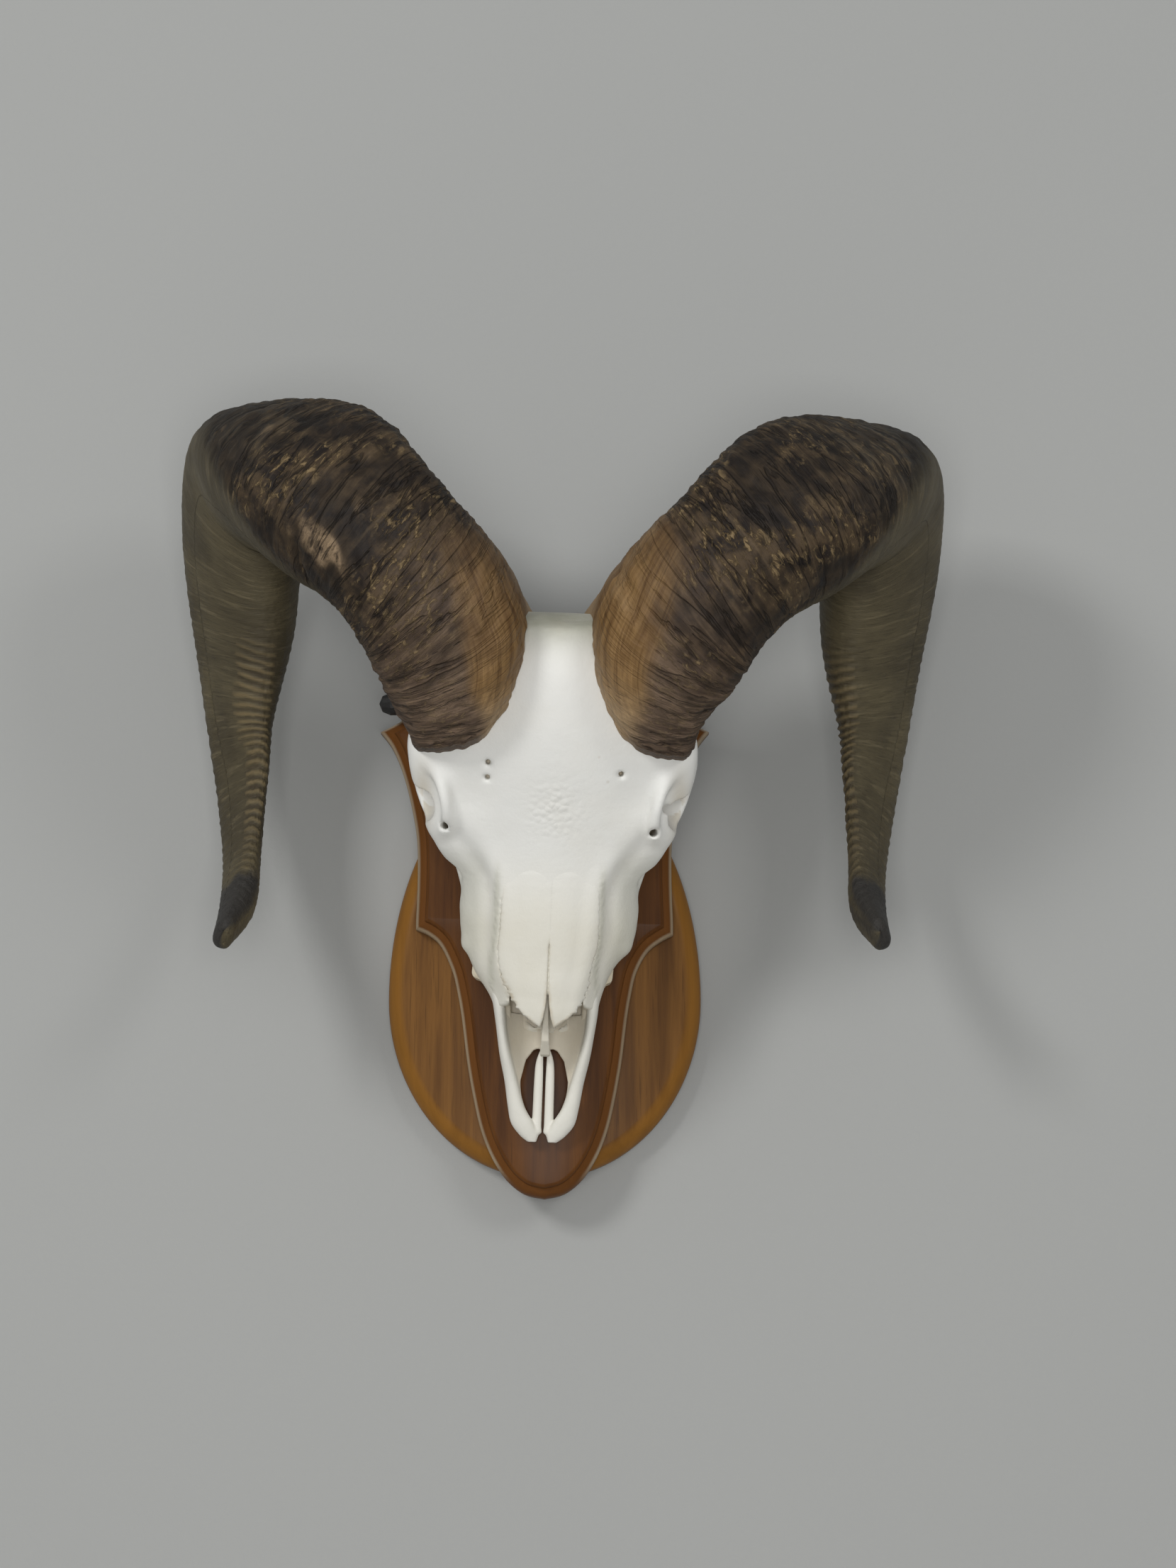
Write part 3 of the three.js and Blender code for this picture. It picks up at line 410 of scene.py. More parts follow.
def horn_keratin():
    """Horn: near-black weathered front with tan flecks and painted shade in its wrinkle valleys, purple-brown
    base, amber inner face, olive flanks, ridges of the band with a painted ochre highlight on their crests
    and painted shade between them, and a dark worn tip."""
    f = Finish("horn_keratin")
    where = f.coords()
    ring = f.node("ShaderNodeUVMap", {"uv_map": "growth"}).outputs[0]

    def on_ring(scale):
        return f.node("ShaderNodeMapping", {}, {"Vector": ring, "Scale": scale}).outputs[0]

    amber, band, tip, weathered, base, apex, crest = (
        f.mark(n) for n in ("amber", "band", "tip", "front", "base", "apex", "crest"))
    lines = f.noise(on_ring((430, 42, 1)), 1, 5, 0.62, 0.5)
    fine = f.noise(on_ring((1100, 110, 1)), 1, 4, 0.6, 0.3)
    clouds = f.noise(where, 24, 4, 0.55, 0.4)
    blotch = f.noise(where, 85, 5, 0.6, 0.5)
    fleck = f.noise(on_ring((560, 290, 1)), 1, 5, 0.66, 0.7)
    crack = 1 - abs(f.noise(on_ring((120, 16, 1)), 1, 4, 0.6, 0.9) - 0.5).step(0.004, 0.030)
    streaks = f.noise(on_ring((34, 420, 1)), 1, 5, 0.6, 1.4)

    flank = f.blend(clouds.step(0.3, 0.7), (0.060, 0.049, 0.029), (0.106, 0.087, 0.049))
    flank = f.blend(lines.step(0.5, 0.75) * 0.55, flank, (0.190, 0.155, 0.090))
    flank = f.blend((1 - fine.step(0.30, 0.48)) * 0.5, flank, (0.035, 0.028, 0.018))
    front = f.blend(blotch.step(0.36, 0.64), (0.014, 0.010, 0.008), (0.070, 0.047, 0.026))
    front = f.blend(lines.step(0.50, 0.70) * 0.5, front, (0.130, 0.090, 0.050))
    purple = f.blend(lines.step(0.33, 0.7), (0.080, 0.052, 0.036), (0.220, 0.150, 0.100))
    front = f.blend(base * 0.85, front, purple)
    grey = f.blend(lines.step(0.35, 0.68), (0.018, 0.016, 0.014), (0.075, 0.068, 0.052))
    front = f.blend(apex * 0.7, front, grey)
    flecked = fleck.step(0.50, 0.63) * (clouds.step(0.42, 0.60) * (1 - 0.6 * apex) * (1 - 0.5 * base))
    front = f.blend((1 - clouds.step(0.36, 0.56)) * (0.6 - 0.35 * base), front, (0.013, 0.010, 0.008))
    front = f.blend(flecked * 0.8, front, (0.235, 0.165, 0.082))
    front = f.blend(f.mark("chip") * fleck.step(0.30, 0.60) * 0.9, front, (0.29, 0.205, 0.125))
    front = f.blend(crack * (0.6 - 0.35 * base), front, (0.008, 0.006, 0.005))
    tint = f.blend(weathered, flank, front)
    # band: painted ochre highlight on the ridge crests, then painted shade in the grooves between them
    tint = f.blend(band * crest.step(0.2, 1.1) * (0.3 + 0.8 * blotch), tint, (0.190, 0.140, 0.070))
    tint = f.blend(band * (1 - crest.step(0.0, 0.42)) * 0.5, tint, (0.045, 0.032, 0.020))
    gold = f.blend(streaks.step(0.28, 0.76), (0.105, 0.054, 0.019), (0.265, 0.158, 0.062))
    gold = f.blend(clouds.step(0.50, 0.66) * 0.4, gold, (0.330, 0.215, 0.105))
    gold = f.blend(f.mark("rim") * (0.4 + 0.6 * streaks), gold, (0.400, 0.285, 0.165))
    tint = f.blend(amber, tint, gold)
    tint = f.blend(tip * 0.92, tint, f.blend(fine, (0.012, 0.011, 0.011), (0.050, 0.048, 0.046)))
    # painted shade in the valleys of the wrinkles and crust of the weathered front
    valley = (1 - crest.step(-0.6, 0.1)) * weathered
    tint = f.blend(valley * (0.6 - 0.4 * amber - 0.2 * base), tint, (0.012, 0.009, 0.007))
    rough_part = weathered * (1 - 0.7 * amber)
    height = lines * (0.25 + 0.75 * rough_part) + fine * 0.4 + flecked * rough_part * 0.5
    height = height + streaks * amber * 0.5 - crack * rough_part * 0.9
    gloss = 0.40 + 0.25 * blotch + 0.08 * rough_part
    return f.dress(tint, gloss, height, 0.0014, 0.85, Specular_IOR_Level=0.17)


def lacquered_walnut(name, dark, light, streak, edge):
    """Satin lacquered walnut, grain upright, with a lighter edge and a pale line along the side wall near the
    bottom point.
    """
    f = Finish(name)
    grain = f.noise(f.coords(scale=(1, 1, 0.055)), 150, 8, 0.62, 0.35)
    figure = f.noise(f.coords(scale=(1, 1, 0.09)), 26, 4, 0.55, 0.9)
    pores = f.noise(f.coords(scale=(1, 1, 0.03)), 1300, 2, 0.5)
    cloud = f.noise(f.coords(), 14, 3, 0.5)
    tint = f.blend(grain.step(0.3, 0.72), dark, light)
    tint = f.blend(figure.step(0.50, 0.68) * 0.62, tint, streak)
    tint = f.blend(cloud.step(0.35, 0.75) * 0.3, tint, light)
    tint = f.blend(pores.step(0.60, 0.72) * 0.4, tint, streak)
    tint = f.blend(f.mark("edge") * (0.72 + 0.4 * (grain - 0.5)), tint, edge)
    # pale line along the side wall near the bottom point of the board
    tint = f.blend(f.mark("bare") * (0.35 + 0.6 * grain), tint, (0.46, 0.38, 0.26))
    scuffs = 1 - f.spots(f.coords(scale=(1, 1, 0.6)), 55).step(0.015, 0.035)
    tint = f.blend(scuffs * f.noise(f.coords(), 11, 1).step(0.6, 0.66) * 0.7, tint, (0.62, 0.56, 0.48))
    return f.dress(tint, 0.42 + 0.12 * grain, grain * 0.5 + pores * 0.25, 0.0003, 0.35, Coat_Weight=0.05,
                   Coat_Roughness=0.2, Coat_IOR=1.5, Specular_IOR_Level=0.08)


def black_paint():
    """Black painted steel with a fine texture and thin wear."""
    f = Finish("black_paint")
    where = f.coords()
    texture = f.noise(where, 700, 3, 0.6)
    wear = f.noise(where, 90, 5, 0.7).step(0.62, 0.75)
    tint = f.blend(wear * 0.5, (0.018, 0.017, 0.016), (0.070, 0.064, 0.058))
    return f.dress(tint, 0.42 + 0.2 * texture, texture, 0.0002, 0.5, Metallic=0.35)


def plain_paint(name, tint, clear_behind=False):
    """Matt paint with a faint roller texture. A wall is clear from behind, which shows the back."""
    f = Finish(name)
    where = f.coords()
    patch = f.noise(where, 3, 3, 0.5)
    colour = f.blend(patch * 0.25, tint, tuple(c * 0.93 for c in tint))
    material = f.dress(colour, 0.9, f.noise(where, 260, 4, 0.6), 0.0004, 0.3)
    if clear_behind:
        behind = f.node("ShaderNodeNewGeometry").outputs["Backfacing"]
        clear = f.node("ShaderNodeBsdfTransparent").outputs[0]
        mixed = f.node("ShaderNodeMixShader", {}, {0: behind, 1: f.shader.outputs[0], 2: clear})
        f.tree.links.new(mixed.outputs[0], f.output.inputs["Surface"])
    return material


# ---------------------------------------------------------------- making pieces
def faces_out(points, faces):
    """The faces turned so that the enclosed volume, the sum of a . (b x c) / 6, is positive."""
    a, b, c = (points[faces[:, k]] for k in (0, 1, 2))
    volume = np.einsum("ij,ij->", a, np.cross(b, c))
    if faces.shape[1] == 4:
        volume += np.einsum("ij,ij->", a, np.cross(c, points[faces[:, 3]]))
    return faces if volume > 0 else faces[:, ::-1]


def all_out(points, quads, *others):
    """The quads of a closed piece and its other faces, turned together to face outwards."""
    turned = faces_out(points, quads)
    if turned is quads:
        return [quads, *others]
    return [turned, *(faces[:, ::-1] for faces in others)]


def make_piece(name, points, faces, finish, marks=None, uv=None):
    """A smooth mesh piece from points in metres; faces is a list of index arrays."""
    mesh = bpy.data.meshes.new(name)
    mesh.from_pydata(points.tolist(), [], [face for block in faces for face in block.tolist()])
    mesh.polygons.foreach_set("use_smooth", np.ones(len(mesh.polygons), bool))
    for key, values in (marks or {}).items():
        made = mesh.attributes.new(key, "FLOAT", "POINT")
        made.data.foreach_set("value", np.asarray(values, np.float32).ravel())
    if uv is not None:
        layer = mesh.uv_layers.new(name="growth")
        corner = np.zeros(len(mesh.loops), np.int32)
        mesh.loops.foreach_get("vertex_index", corner)
        layer.data.foreach_set("uv", np.asarray(uv, np.float32)[corner].ravel())
    mesh.materials.append(finish)
    mesh.update()
    made = bpy.data.objects.new(name, mesh)
    bpy.context.scene.collection.objects.link(made)
    return made


def finish_piece(made, slot, *nodes):
    """The piece rides the one rigid body and stands for the CAD nodes that it covers."""
    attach(made, "root")
    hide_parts(*nodes)


def ring_faces(rows, around, first=0):
    """Quads between neighbouring rings of a tube, the last point of a ring joined to its first."""
    r, k = np.meshgrid(np.arange(rows - 1), np.arange(around), indexing="ij")
    a = first + r * around + k
    b = first + r * around + (k + 1) % around
    return np.stack([a, b, b + around, a + around], -1).reshape(-1, 4)


def closed_tube(rings):
    """Points, quads and end fans of a tube; each end fan meets at the middle of its ring."""
    rows, around = rings.shape[:2]
    points = rings.reshape(-1, 3)
    hubs = np.stack([rings[0].mean(0), rings[-1].mean(0)])
    k = np.arange(around)
    last = (rows - 1) * around
    start = np.stack([np.full(around, len(points)), (k + 1) % around, k], -1)
    end = np.stack([np.full(around, len(points) + 1), last + k, last + (k + 1) % around], -1)
    return np.vstack([points, hubs]), ring_faces(rows, around), np.vstack([start, end])


# ---------------------------------------------------------------- bone as a distance field
class Bone:
    """A block of small cells that holds the distance to a bone's surface, negative inside.
    Shapes are joined to it and cut from it with soft fillets, and skin() meshes it."""

    def __init__(self, low, high, cell):
        self.low = np.array(low, float)
        self.cell = cell
        self.axes = [np.arange(a, b + cell, cell) for a, b in zip(low, high)]
        self.field = np.full([len(axis) for axis in self.axes], 60.0, np.float32)

    def grid(self):
        """Open coordinate arrays of the block."""
        return np.meshgrid(*self.axes, indexing="ij", sparse=True)

    def near(self, low, high):
        """The part of the block between two corners, and the open coordinate arrays of it."""
        part = []
        for axis, a, b in zip(self.axes, low, high):
            part.append(slice(int(np.searchsorted(axis, a)), int(np.searchsorted(axis, b)) + 1))
        axes = [axis[s] for axis, s in zip(self.axes, part)]
        return tuple(part), np.meshgrid(*axes, indexing="ij", sparse=True)

    def work(self, shape, how, soft):
        """Joins or carves a shape, in the part of the block that it can reach."""
        low, high, distance = shape
        margin = 3 * soft + 2
        part, (x, d, z) = self.near([v - margin for v in low], [v + margin for v in high])
        if all(len(axis[s]) for axis, s in zip(self.axes, part)):
            self.field[part] = how(self.field[part], distance(x, d, z), soft)

    def add(self, shape, soft=2.0):
        self.work(shape, join, soft)

    def cut(self, shape, soft=1.5):
        self.work(shape, carve, soft)

    def swell(self, centre, half, height):
        """Raises the surface by height times exp(-r2), r measured in half sizes from the centre."""
        low = [c - 2.6 * h for c, h in zip(centre, half)]
        high = [c + 2.6 * h for c, h in zip(centre, half)]
        part, at = self.near(low, high)
        r2 = sum(((v - c) / h) ** 2 for v, c, h in zip(at, centre, half))
        self.field[part] -= height * np.exp(-r2)

    def skin(self):
        """Points in millimetres and quads of the zero surface, the main body only."""
        grid = vdb.FloatGrid()
        grid.copyFromArray(self.field)
        points, _, quads = grid.convertToPolygons(isovalue=0.0, adaptivity=0.0)
        points = points * self.cell + self.low
        return main_body(points, quads.astype(np.int64))

    def sample(self, field, points):
        """The value of a field of this block at the nearest cell of each point."""
        place = np.rint((points - self.low) / self.cell).astype(int)
        place = np.clip(place, 0, np.array(field.shape) - 1)
        return field[place[:, 0], place[:, 1], place[:, 2]]


def join(a, b, soft):
    """Soft union: the smaller of two fields, less soft h (1 - h) where they are close."""
    h = np.clip(0.5 + 0.5 * (b - a) / soft, 0, 1)
    return b + (a - b) * h - soft * h * (1 - h)


def carve(a, b, soft):
    """Soft cut of b out of a."""
    return -join(-a, b, soft)


def main_body(points, quads):
    """Keeps the largest connected body: labels spread over the edges until they settle."""
    label = np.arange(len(points))
    while True:
        low = label[quads].min(1)
        before = label.copy()
        for corner in range(4):
            np.minimum.at(label, quads[:, corner], low)
        label = label[label]
        if np.array_equal(label, before):
            break
    names, counts = np.unique(label[quads[:, 0]], return_counts=True)
    keep = quads[label[quads[:, 0]] == names[counts.argmax()]]
    used, packed = np.unique(keep, return_inverse=True)
    return points[used], packed.reshape(keep.shape)


def ball(centre, half, axis=None):
    """Ellipsoid: with q the place in half sizes, distance = |q| (|q| - 1) / |q / half|. Its third
    half size lies along axis."""
    half = np.array(half, float)
    reach = half.max()
    if axis is None:
        turn = np.eye(3)
    else:
        w = unit(np.array(axis, float))
        u = unit(np.cross(w, (0.0, 1.0, 0.3)))
        turn = np.stack([u, np.cross(w, u), w])

    def distance(x, d, z):
        at = x - centre[0], d - centre[1], z - centre[2]
        local = [r[0] * at[0] + r[1] * at[1] + r[2] * at[2] for r in turn]
        q = np.sqrt(sum((v / h) ** 2 for v, h in zip(local, half)))
        slope = np.sqrt(sum((v / h ** 2) ** 2 for v, h in zip(local, half)))
        return (q * (q - 1) / np.maximum(slope, 1e-6)).astype(np.float32)

    return [c - reach for c in centre], [c + reach for c in centre], distance


def rod(start, end, radius, end_radius=None):
    """Round rod with round ends: distance to the nearest place on the line, less the radius there."""
    p, q = np.array(start, float), np.array(end, float)
    r0, r1 = radius, radius if end_radius is None else end_radius
    run = q - p

    def distance(x, d, z):
        t = ((x - p[0]) * run[0] + (d - p[1]) * run[1] + (z - p[2]) * run[2]) / run.dot(run)
        t = np.clip(t, 0, 1)
        gap = np.sqrt(sum((v - a - t * b) ** 2 for v, a, b in zip((x, d, z), p, run)))
        return (gap - (r0 + (r1 - r0) * t)).astype(np.float32)

    reach = max(r0, r1)
    return np.minimum(p, q) - reach, np.maximum(p, q) + reach, distance


def ring_rod(centre, axis, radius, thick):
    """Torus: distance to the circle of the given radius round the axis, less thick."""
    w = unit(np.array(axis, float))

    def distance(x, d, z):
        rx, rd, rz = x - centre[0], d - centre[1], z - centre[2]
        up = rx * w[0] + rd * w[1] + rz * w[2]
        flat = np.sqrt(np.maximum(rx ** 2 + rd ** 2 + rz ** 2 - up ** 2, 0))
        return (np.hypot(flat - radius, up) - thick).astype(np.float32)

    reach = radius + thick
    return [c - reach for c in centre], [c + reach for c in centre], distance


def station_bar(rows, side, power=2.0):
    """Bar along z through rows of z, middle x, half width, low, high: a rounded section whose
    distance is (q - 1) over the slope of q, q being the place in half sizes."""
    rows = np.array(rows, float)
    fine = along(rows, np.linspace(0, len(rows) - 1, 8 * len(rows)))
    fine = fine[np.argsort(fine[:, 0])]
    reach = (rows[:, 1] + rows[:, 2]).max()
    low = [-reach, rows[:, 3].min(), rows[0, 0]]
    high = [reach, rows[:, 4].max(), rows[-1, 0]]

    def distance(x, d, z):
        mid, wide, lo, hi = (np.interp(z, fine[:, 0], fine[:, k]).astype(np.float32) for k in (1, 2, 3, 4))
        u, v = (side * x - mid) / wide, (d - (lo + hi) / 2) / ((hi - lo) / 2)
        q = (np.abs(u) ** power + np.abs(v) ** power) ** (1 / power)
        slope = np.hypot(u / wide, v / ((hi - lo) / 2)) / np.maximum(q, 1e-3)
        body = (q - 1) / np.maximum(slope, 1e-3)
        past = np.maximum(rows[0, 0] - z, z - rows[-1, 0])
        return np.maximum(body, past).astype(np.float32)

    return low, high, distance


def tapered_hole(rows):
    """Hole along z through rows of z, half width, low, high: the largest of the distances past
    its four sides and two ends."""
    rows = np.array(rows, float)

    def distance(x, d, z):
        half, lo, hi = (np.interp(z, rows[:, 0], rows[:, k]) for k in (1, 2, 3))
        side = np.maximum(np.abs(x) - half, np.maximum(lo - d, d - hi))
        return np.maximum(side, np.maximum(rows[0, 0] - z, z - rows[-1, 0])).astype(np.float32)

    reach = rows[:, 1].max()
    return [-reach, rows[:, 2].min(), rows[0, 0]], [reach, rows[:, 3].max(), rows[-1, 0]], distance


class HeadForm:
    """The skull's outer form without its hollows: a radius for each height and each angle
    round the middle of the section, from smooth rings through the head stations."""

    def __init__(self):
        t = np.linspace(0, len(HEAD) - 1, 420)
        rows = along(HEAD, t)
        z, top, sx, sd, wx, wd, lx, ld, ex, ed, base = rows.T
        zero = np.zeros_like(z)
        half = [(zero, top), (sx * 0.55, top - (top - sd) * 0.35), (sx, sd), (wx, wd), (lx, ld), (ex, ed),
                (ex * 0.45, base), (zero, base)]
        loop = half + [(-x, d) for x, d in half[-2:0:-1]]
        loop = np.array(loop)                        # point, x or d, station
        u = np.linspace(0, len(half) - 1, 160)
        i = np.floor(u).astype(int)
        a, b, c, e = (loop[(i + k) % len(loop)] for k in (-1, 0, 1, 2))
        ring = bend(a, b, c, e, (u - i)[:, None, None])
        self.z = z
        self.mid = (top + base) / 2
        self.angles = np.linspace(-math.pi / 2, math.pi / 2, 361)
        self.radius = np.empty((len(z), len(self.angles)))
        self.top_x = np.linspace(0, 72, 145)
        self.top_d = np.empty((len(z), len(self.top_x)))
        for k in range(len(z)):
            x, d = ring[:, 0, k], ring[:, 1, k]
            angle = np.arctan2(d - self.mid[k], np.maximum(x, 0))
            order = np.argsort(angle)
            self.radius[k] = np.interp(self.angles, angle[order], np.hypot(x, d - self.mid[k])[order])
            upper = slice(0, int(np.argmax(x)) + 1)
            self.top_d[k] = np.interp(self.top_x, x[upper], d[upper], right=self.mid[k] - 20)

    def field(self, bone):
        """Distance to the form in a block: radius at the point less radius of the form, over the
        length of its slope, with rounded ends."""
        xs, ds, zs = bone.axes
        out = np.empty((len(xs), len(ds), len(zs)), np.float32)
        mid = np.interp(zs, self.z, self.mid)
        table = np.stack([np.interp(zs, self.z, self.radius[:, k]) for k in range(len(self.angles))], 1)
        wide = np.abs(xs)[:, None]
        for k in range(len(zs)):
            tall = (ds - mid[k])[None, :]
            angle = np.arctan2(tall, wide)
            out[:, :, k] = np.hypot(wide, tall) - np.interp(angle, self.angles, table[k])
        slope = np.sqrt(sum(g ** 2 for g in np.gradient(out, bone.cell)))
        out /= np.clip(slope, 0.7, 3)
        ends = np.maximum(HEAD_LOW - zs, zs - HEAD_HIGH)[None, None, :].astype(np.float32)
        return carve(out, -ends, 2.5)

    def surface(self, x, z):
        """Depth of the upper surface at x and z."""
        k = np.interp(z, self.z, np.arange(len(self.z)))
        j = np.interp(np.abs(x), self.top_x, np.arange(len(self.top_x)))
        return self.top_d[np.rint(k).astype(int), np.rint(j).astype(int)]


head_form = HeadForm()


def nasal_reach(side, x, z):
    """Distance past the edge of one nasal bone seen from above: the outer edge with its jagged
    suture, the midline crack, and the pointed tip."""
    out = side * (x - NASAL_MIDLINE)
    jag = 0.45 * np.sin(z * 1.9 + side) + 0.35 * np.sin(z * 3.7 + 2 * side) + 0.25 * np.sin(z * 0.9)
    outer = between(NASAL_WIDTH, z) + jag * ease(-62, -50, z) * (0.3 + 0.7 * ease(-28, -44, z))
    past = np.maximum((out - outer) * 0.85, between(NASAL_SLIT, z) - out)
    return np.maximum(past, np.maximum(-61.5 - z, z - 27))


# ---------------------------------------------------------------- skull
def lean(points):
    """The skull's own unevenness: its right cheek and socket are a little narrower, and the
    jaws bend to the left between the cheeks and the nose."""
    x, d, z = np.moveaxis(points, -1, 0)
    narrow = 0.045 * np.maximum(x - 18, 0)
    bend = 2.2 * np.exp(-((z + 34) / 11) ** 2) * np.abs(x) / 30
    return np.stack([x - narrow - bend, d, z], -1)


def skull_bone():
    """Skull without nasal bones: the head form, hollowed by sockets, temples, nose passage,
    palate and spine hole, with socket rims, cheek bars and the knobs of the base joined on."""
    bone = Bone((-72, 36, -78), (72, 180, 134), SKULL_CELL)
    form = head_form.field(bone)
    bone.field = form.copy()
    x, d, z = bone.grid()

    for _, side in SIDES:
        # cheek: a soft furrow beside the nasal edge, a swell beyond it, knobs on the outline
        for at in along(CHEEK_FURROW, np.linspace(0, len(CHEEK_FURROW) - 1, 19)):
            bone.swell(sided(side, at), FURROW_HALF, -at[3])
        for at, half, height in CHEEK_SWELLS:
            bone.swell(sided(side, at), half, height)
        bone.cut(rod(sided(side, (46, 92, 11)), sided(side, (62, 96, 4)), 5.5), 3.0)
        # brow: ridge over the socket and hollow towards the horn
        for at, half, height in BROW_SWELLS:
            bone.swell(sided(side, at), half, height)
        # socket: cheek bar, rim, pocket behind the rim and a shallow recess in front of it
        stations = along(CHEEK_BAR, np.linspace(0, len(CHEEK_BAR) - 1, 13))
        for p, q in zip(stations[:-1], stations[1:]):
            bone.add(rod(sided(side, p), sided(side, q), p[3], q[3]), 2.0)
        centre, facing = sided(side, ORBIT_AT), sided(side, ORBIT_FACING)
        bone.add(ring_rod(centre, facing, ORBIT_RADIUS, ORBIT_RIM), ORBIT_RIM_FILLET)
        moved = zip(centre, ORBIT_POCKET_SHIFT, facing)
        pocket = [c + shift - ORBIT_POCKET_SINK * f for c, shift, f in moved]
        bone.cut(ball(pocket, ORBIT_POCKET, facing), 2.0)
        at, half, height = SOCKET_RECESS
        bone.swell(sided(side, at), half, height)
        # temple behind the socket, and the space between cheek bar and palate
        bone.cut(ball(sided(side, (57, 100, 84)), (19, 26, 22)), 4.0)
        bone.cut(ball(sided(side, (40, 70, 58)), (17, 24, 36)), 4.0)
        # base of the skull: joint knob, ear capsule with its process, wing behind the palate, ear hole
        bone.add(ball(sided(side, (13, 86, 122)), (8, 10, 9.5)), 2.5)
        bone.add(ball(sided(side, (22, 70, 100)), (8, 7, 12)), 3.0)
        bone.add(rod(sided(side, (27, 88, 118)), sided(side, (26, 70, 124)), 4.5, 2.2), 3.0)
        bone.add(rod(sided(side, (12, 62, 46)), sided(side, (14, 56, 62)), 3.0, 2.0), 3.0)
        bone.cut(rod(sided(side, (42, 100, 104)), sided(side, (30, 96, 104)), 3.2), 1.5)

    for at, half, height in POLL_SWELLS:
        bone.swell(at, half, height)
    # vessel holes above the sockets, each with a groove that runs down from it
    for (at_x, at_z), depth in VESSEL_HOLES:
        top = head_form.surface(np.array(at_x), np.array(at_z)).item()
        bone.cut(rod((at_x, top + 3, at_z - 0.4), (at_x * 0.97, top - depth, at_z + 2), 1.35), 1.0)
        bone.cut(rod((at_x, top + 0.7, at_z - 1), (at_x * 1.03, top + 0.9, at_z - 8), 1.6, 0.8), 2.2)
    # tear pits in the lower corner of each socket
    for at_x, at_z in TEAR_PITS:
        inward = math.copysign(5, at_x)
        bone.cut(rod((at_x, 140, at_z - 2), (at_x - inward, 106, at_z + 5), 2.1, 1.8), 2.0)

    bone.cut(tapered_hole(NOSE_PASSAGE), 2.0)
    bone.cut(tapered_hole([(level, half, 20, roof) for level, half, roof in PALATE_HOLLOW]), 3.0)
    bone.cut(ball((0, 95, 136), (11, 10, 26)), 2.0)          # spine hole

    # nose opening: everything in front of the floor and below its upper rim
    above_floor = NOSE_FLOOR + 1.5 * np.minimum(z - NOSE_RIM_Z, 0) - d
    opening = np.maximum(above_floor, z - NOSE_RIM_Z + 0.25 * (np.abs(x) - 8))
    bone.field = carve(bone.field, opening.astype(np.float32), 1.0)
    bone.field = np.maximum(bone.field, (NOSE_END_Z - z).astype(np.float32))
    # seats of the nasal bones
    for _, side in SIDES:
        edge = nasal_reach(side, x, z) + NASAL_PLAY
        seat = np.maximum(np.maximum(edge, z + 4).astype(np.float32), -form - NASAL_THICK - 0.3)
        bone.field = carve(bone.field, seat.astype(np.float32), 0.2)
    return bone, form


def forehead_relief(points):
    """Small lumps in the middle of the forehead: crossed sine waves inside a soft round mask."""
    x, d, z = points.T
    lumps = np.sin(x * 1.1 + 0.6 * z) * np.sin(z * 1.3 - 0.4 * x) + 0.5 * np.sin(x * 2.3 - z)
    mask = np.exp(-((x - 2) / 12) ** 2 - ((z - 33) / 10) ** 2) * (d > 120)
    return 0.1 * lumps * mask


def skull_marks(points, deep):
    """What the bone finish reads on the skull: beige painted shade in hollows and round the sockets, cream
    towards the nose, painted shade on poll and cheeks and beside the nasal edges, partly grey-green stain on
    the poll, stain along the nasal seams, lumps."""
    x, d, z = points.T
    edge = np.minimum(np.abs(nasal_reach(1, x, z)), np.abs(nasal_reach(-1, x, z)))
    # shade mark: painted shade on the poll, which faces up and is partly grey-green stain, on the cheeks,
    # which face aside, and in the furrow beside each nasal edge
    poll = np.exp(-((z - 119) / 15) ** 2) * ease(118, 138, d)
    cheek = ease(26, 36, np.abs(x)) * (1 - ease(8, 26, z)) * ease(-58, -40, z)
    brow = np.exp(-((np.abs(x) - 60) / 4.5) ** 2 - ((z - 40) / 13) ** 2) * (d > 100)
    beside = np.exp(-((np.abs(x) - 24.5) / 1.6) ** 2) * (d > 80)
    beside = beside * ease(-50, -38, z) * (1 - ease(2, 16, z))
    forehead = np.exp(-((x - 1) / 11) ** 2 - ((z - 35) / 11) ** 2) * (d > 110)
    # hollow: beige painted shade, by depth below the head form and in the recess round each socket
    return {"hollow": np.maximum(ease(1.2, 7.0, deep), 0.7 * brow), "cream": ease(26, -22, z),
            "seam": (1 - ease(0.3, 1.6, edge)) * (d > 80) * ease(-26, -44, z) * 0.6,
            "shade": np.clip(poll + 0.45 * beside + 0.32 * cheek, 0, 1), "lumpy": forehead + 0.7 * beside}


def bone_piece(name, points, quads, marks, finish, *nodes):
    """A piece of bone from points in the skull frame, leant and hung, with its faces outwards."""
    made = make_piece(name, hung(lean(points)), [faces_out(hung(points), quads)], finish, marks)
    finish_piece(made, "bone", *nodes)
    return made


def build_skull(finish):
    bone, form = skull_bone()
    points, quads = bone.skin()
    points[:, 1] += forehead_relief(points)
    marks = skull_marks(points, -bone.sample(form, points))
    made = bone_piece("skull", points, quads, marks, finish, *SKULL_NODES)
    made.data.set_sharp_from_angle(angle=math.radians(62))


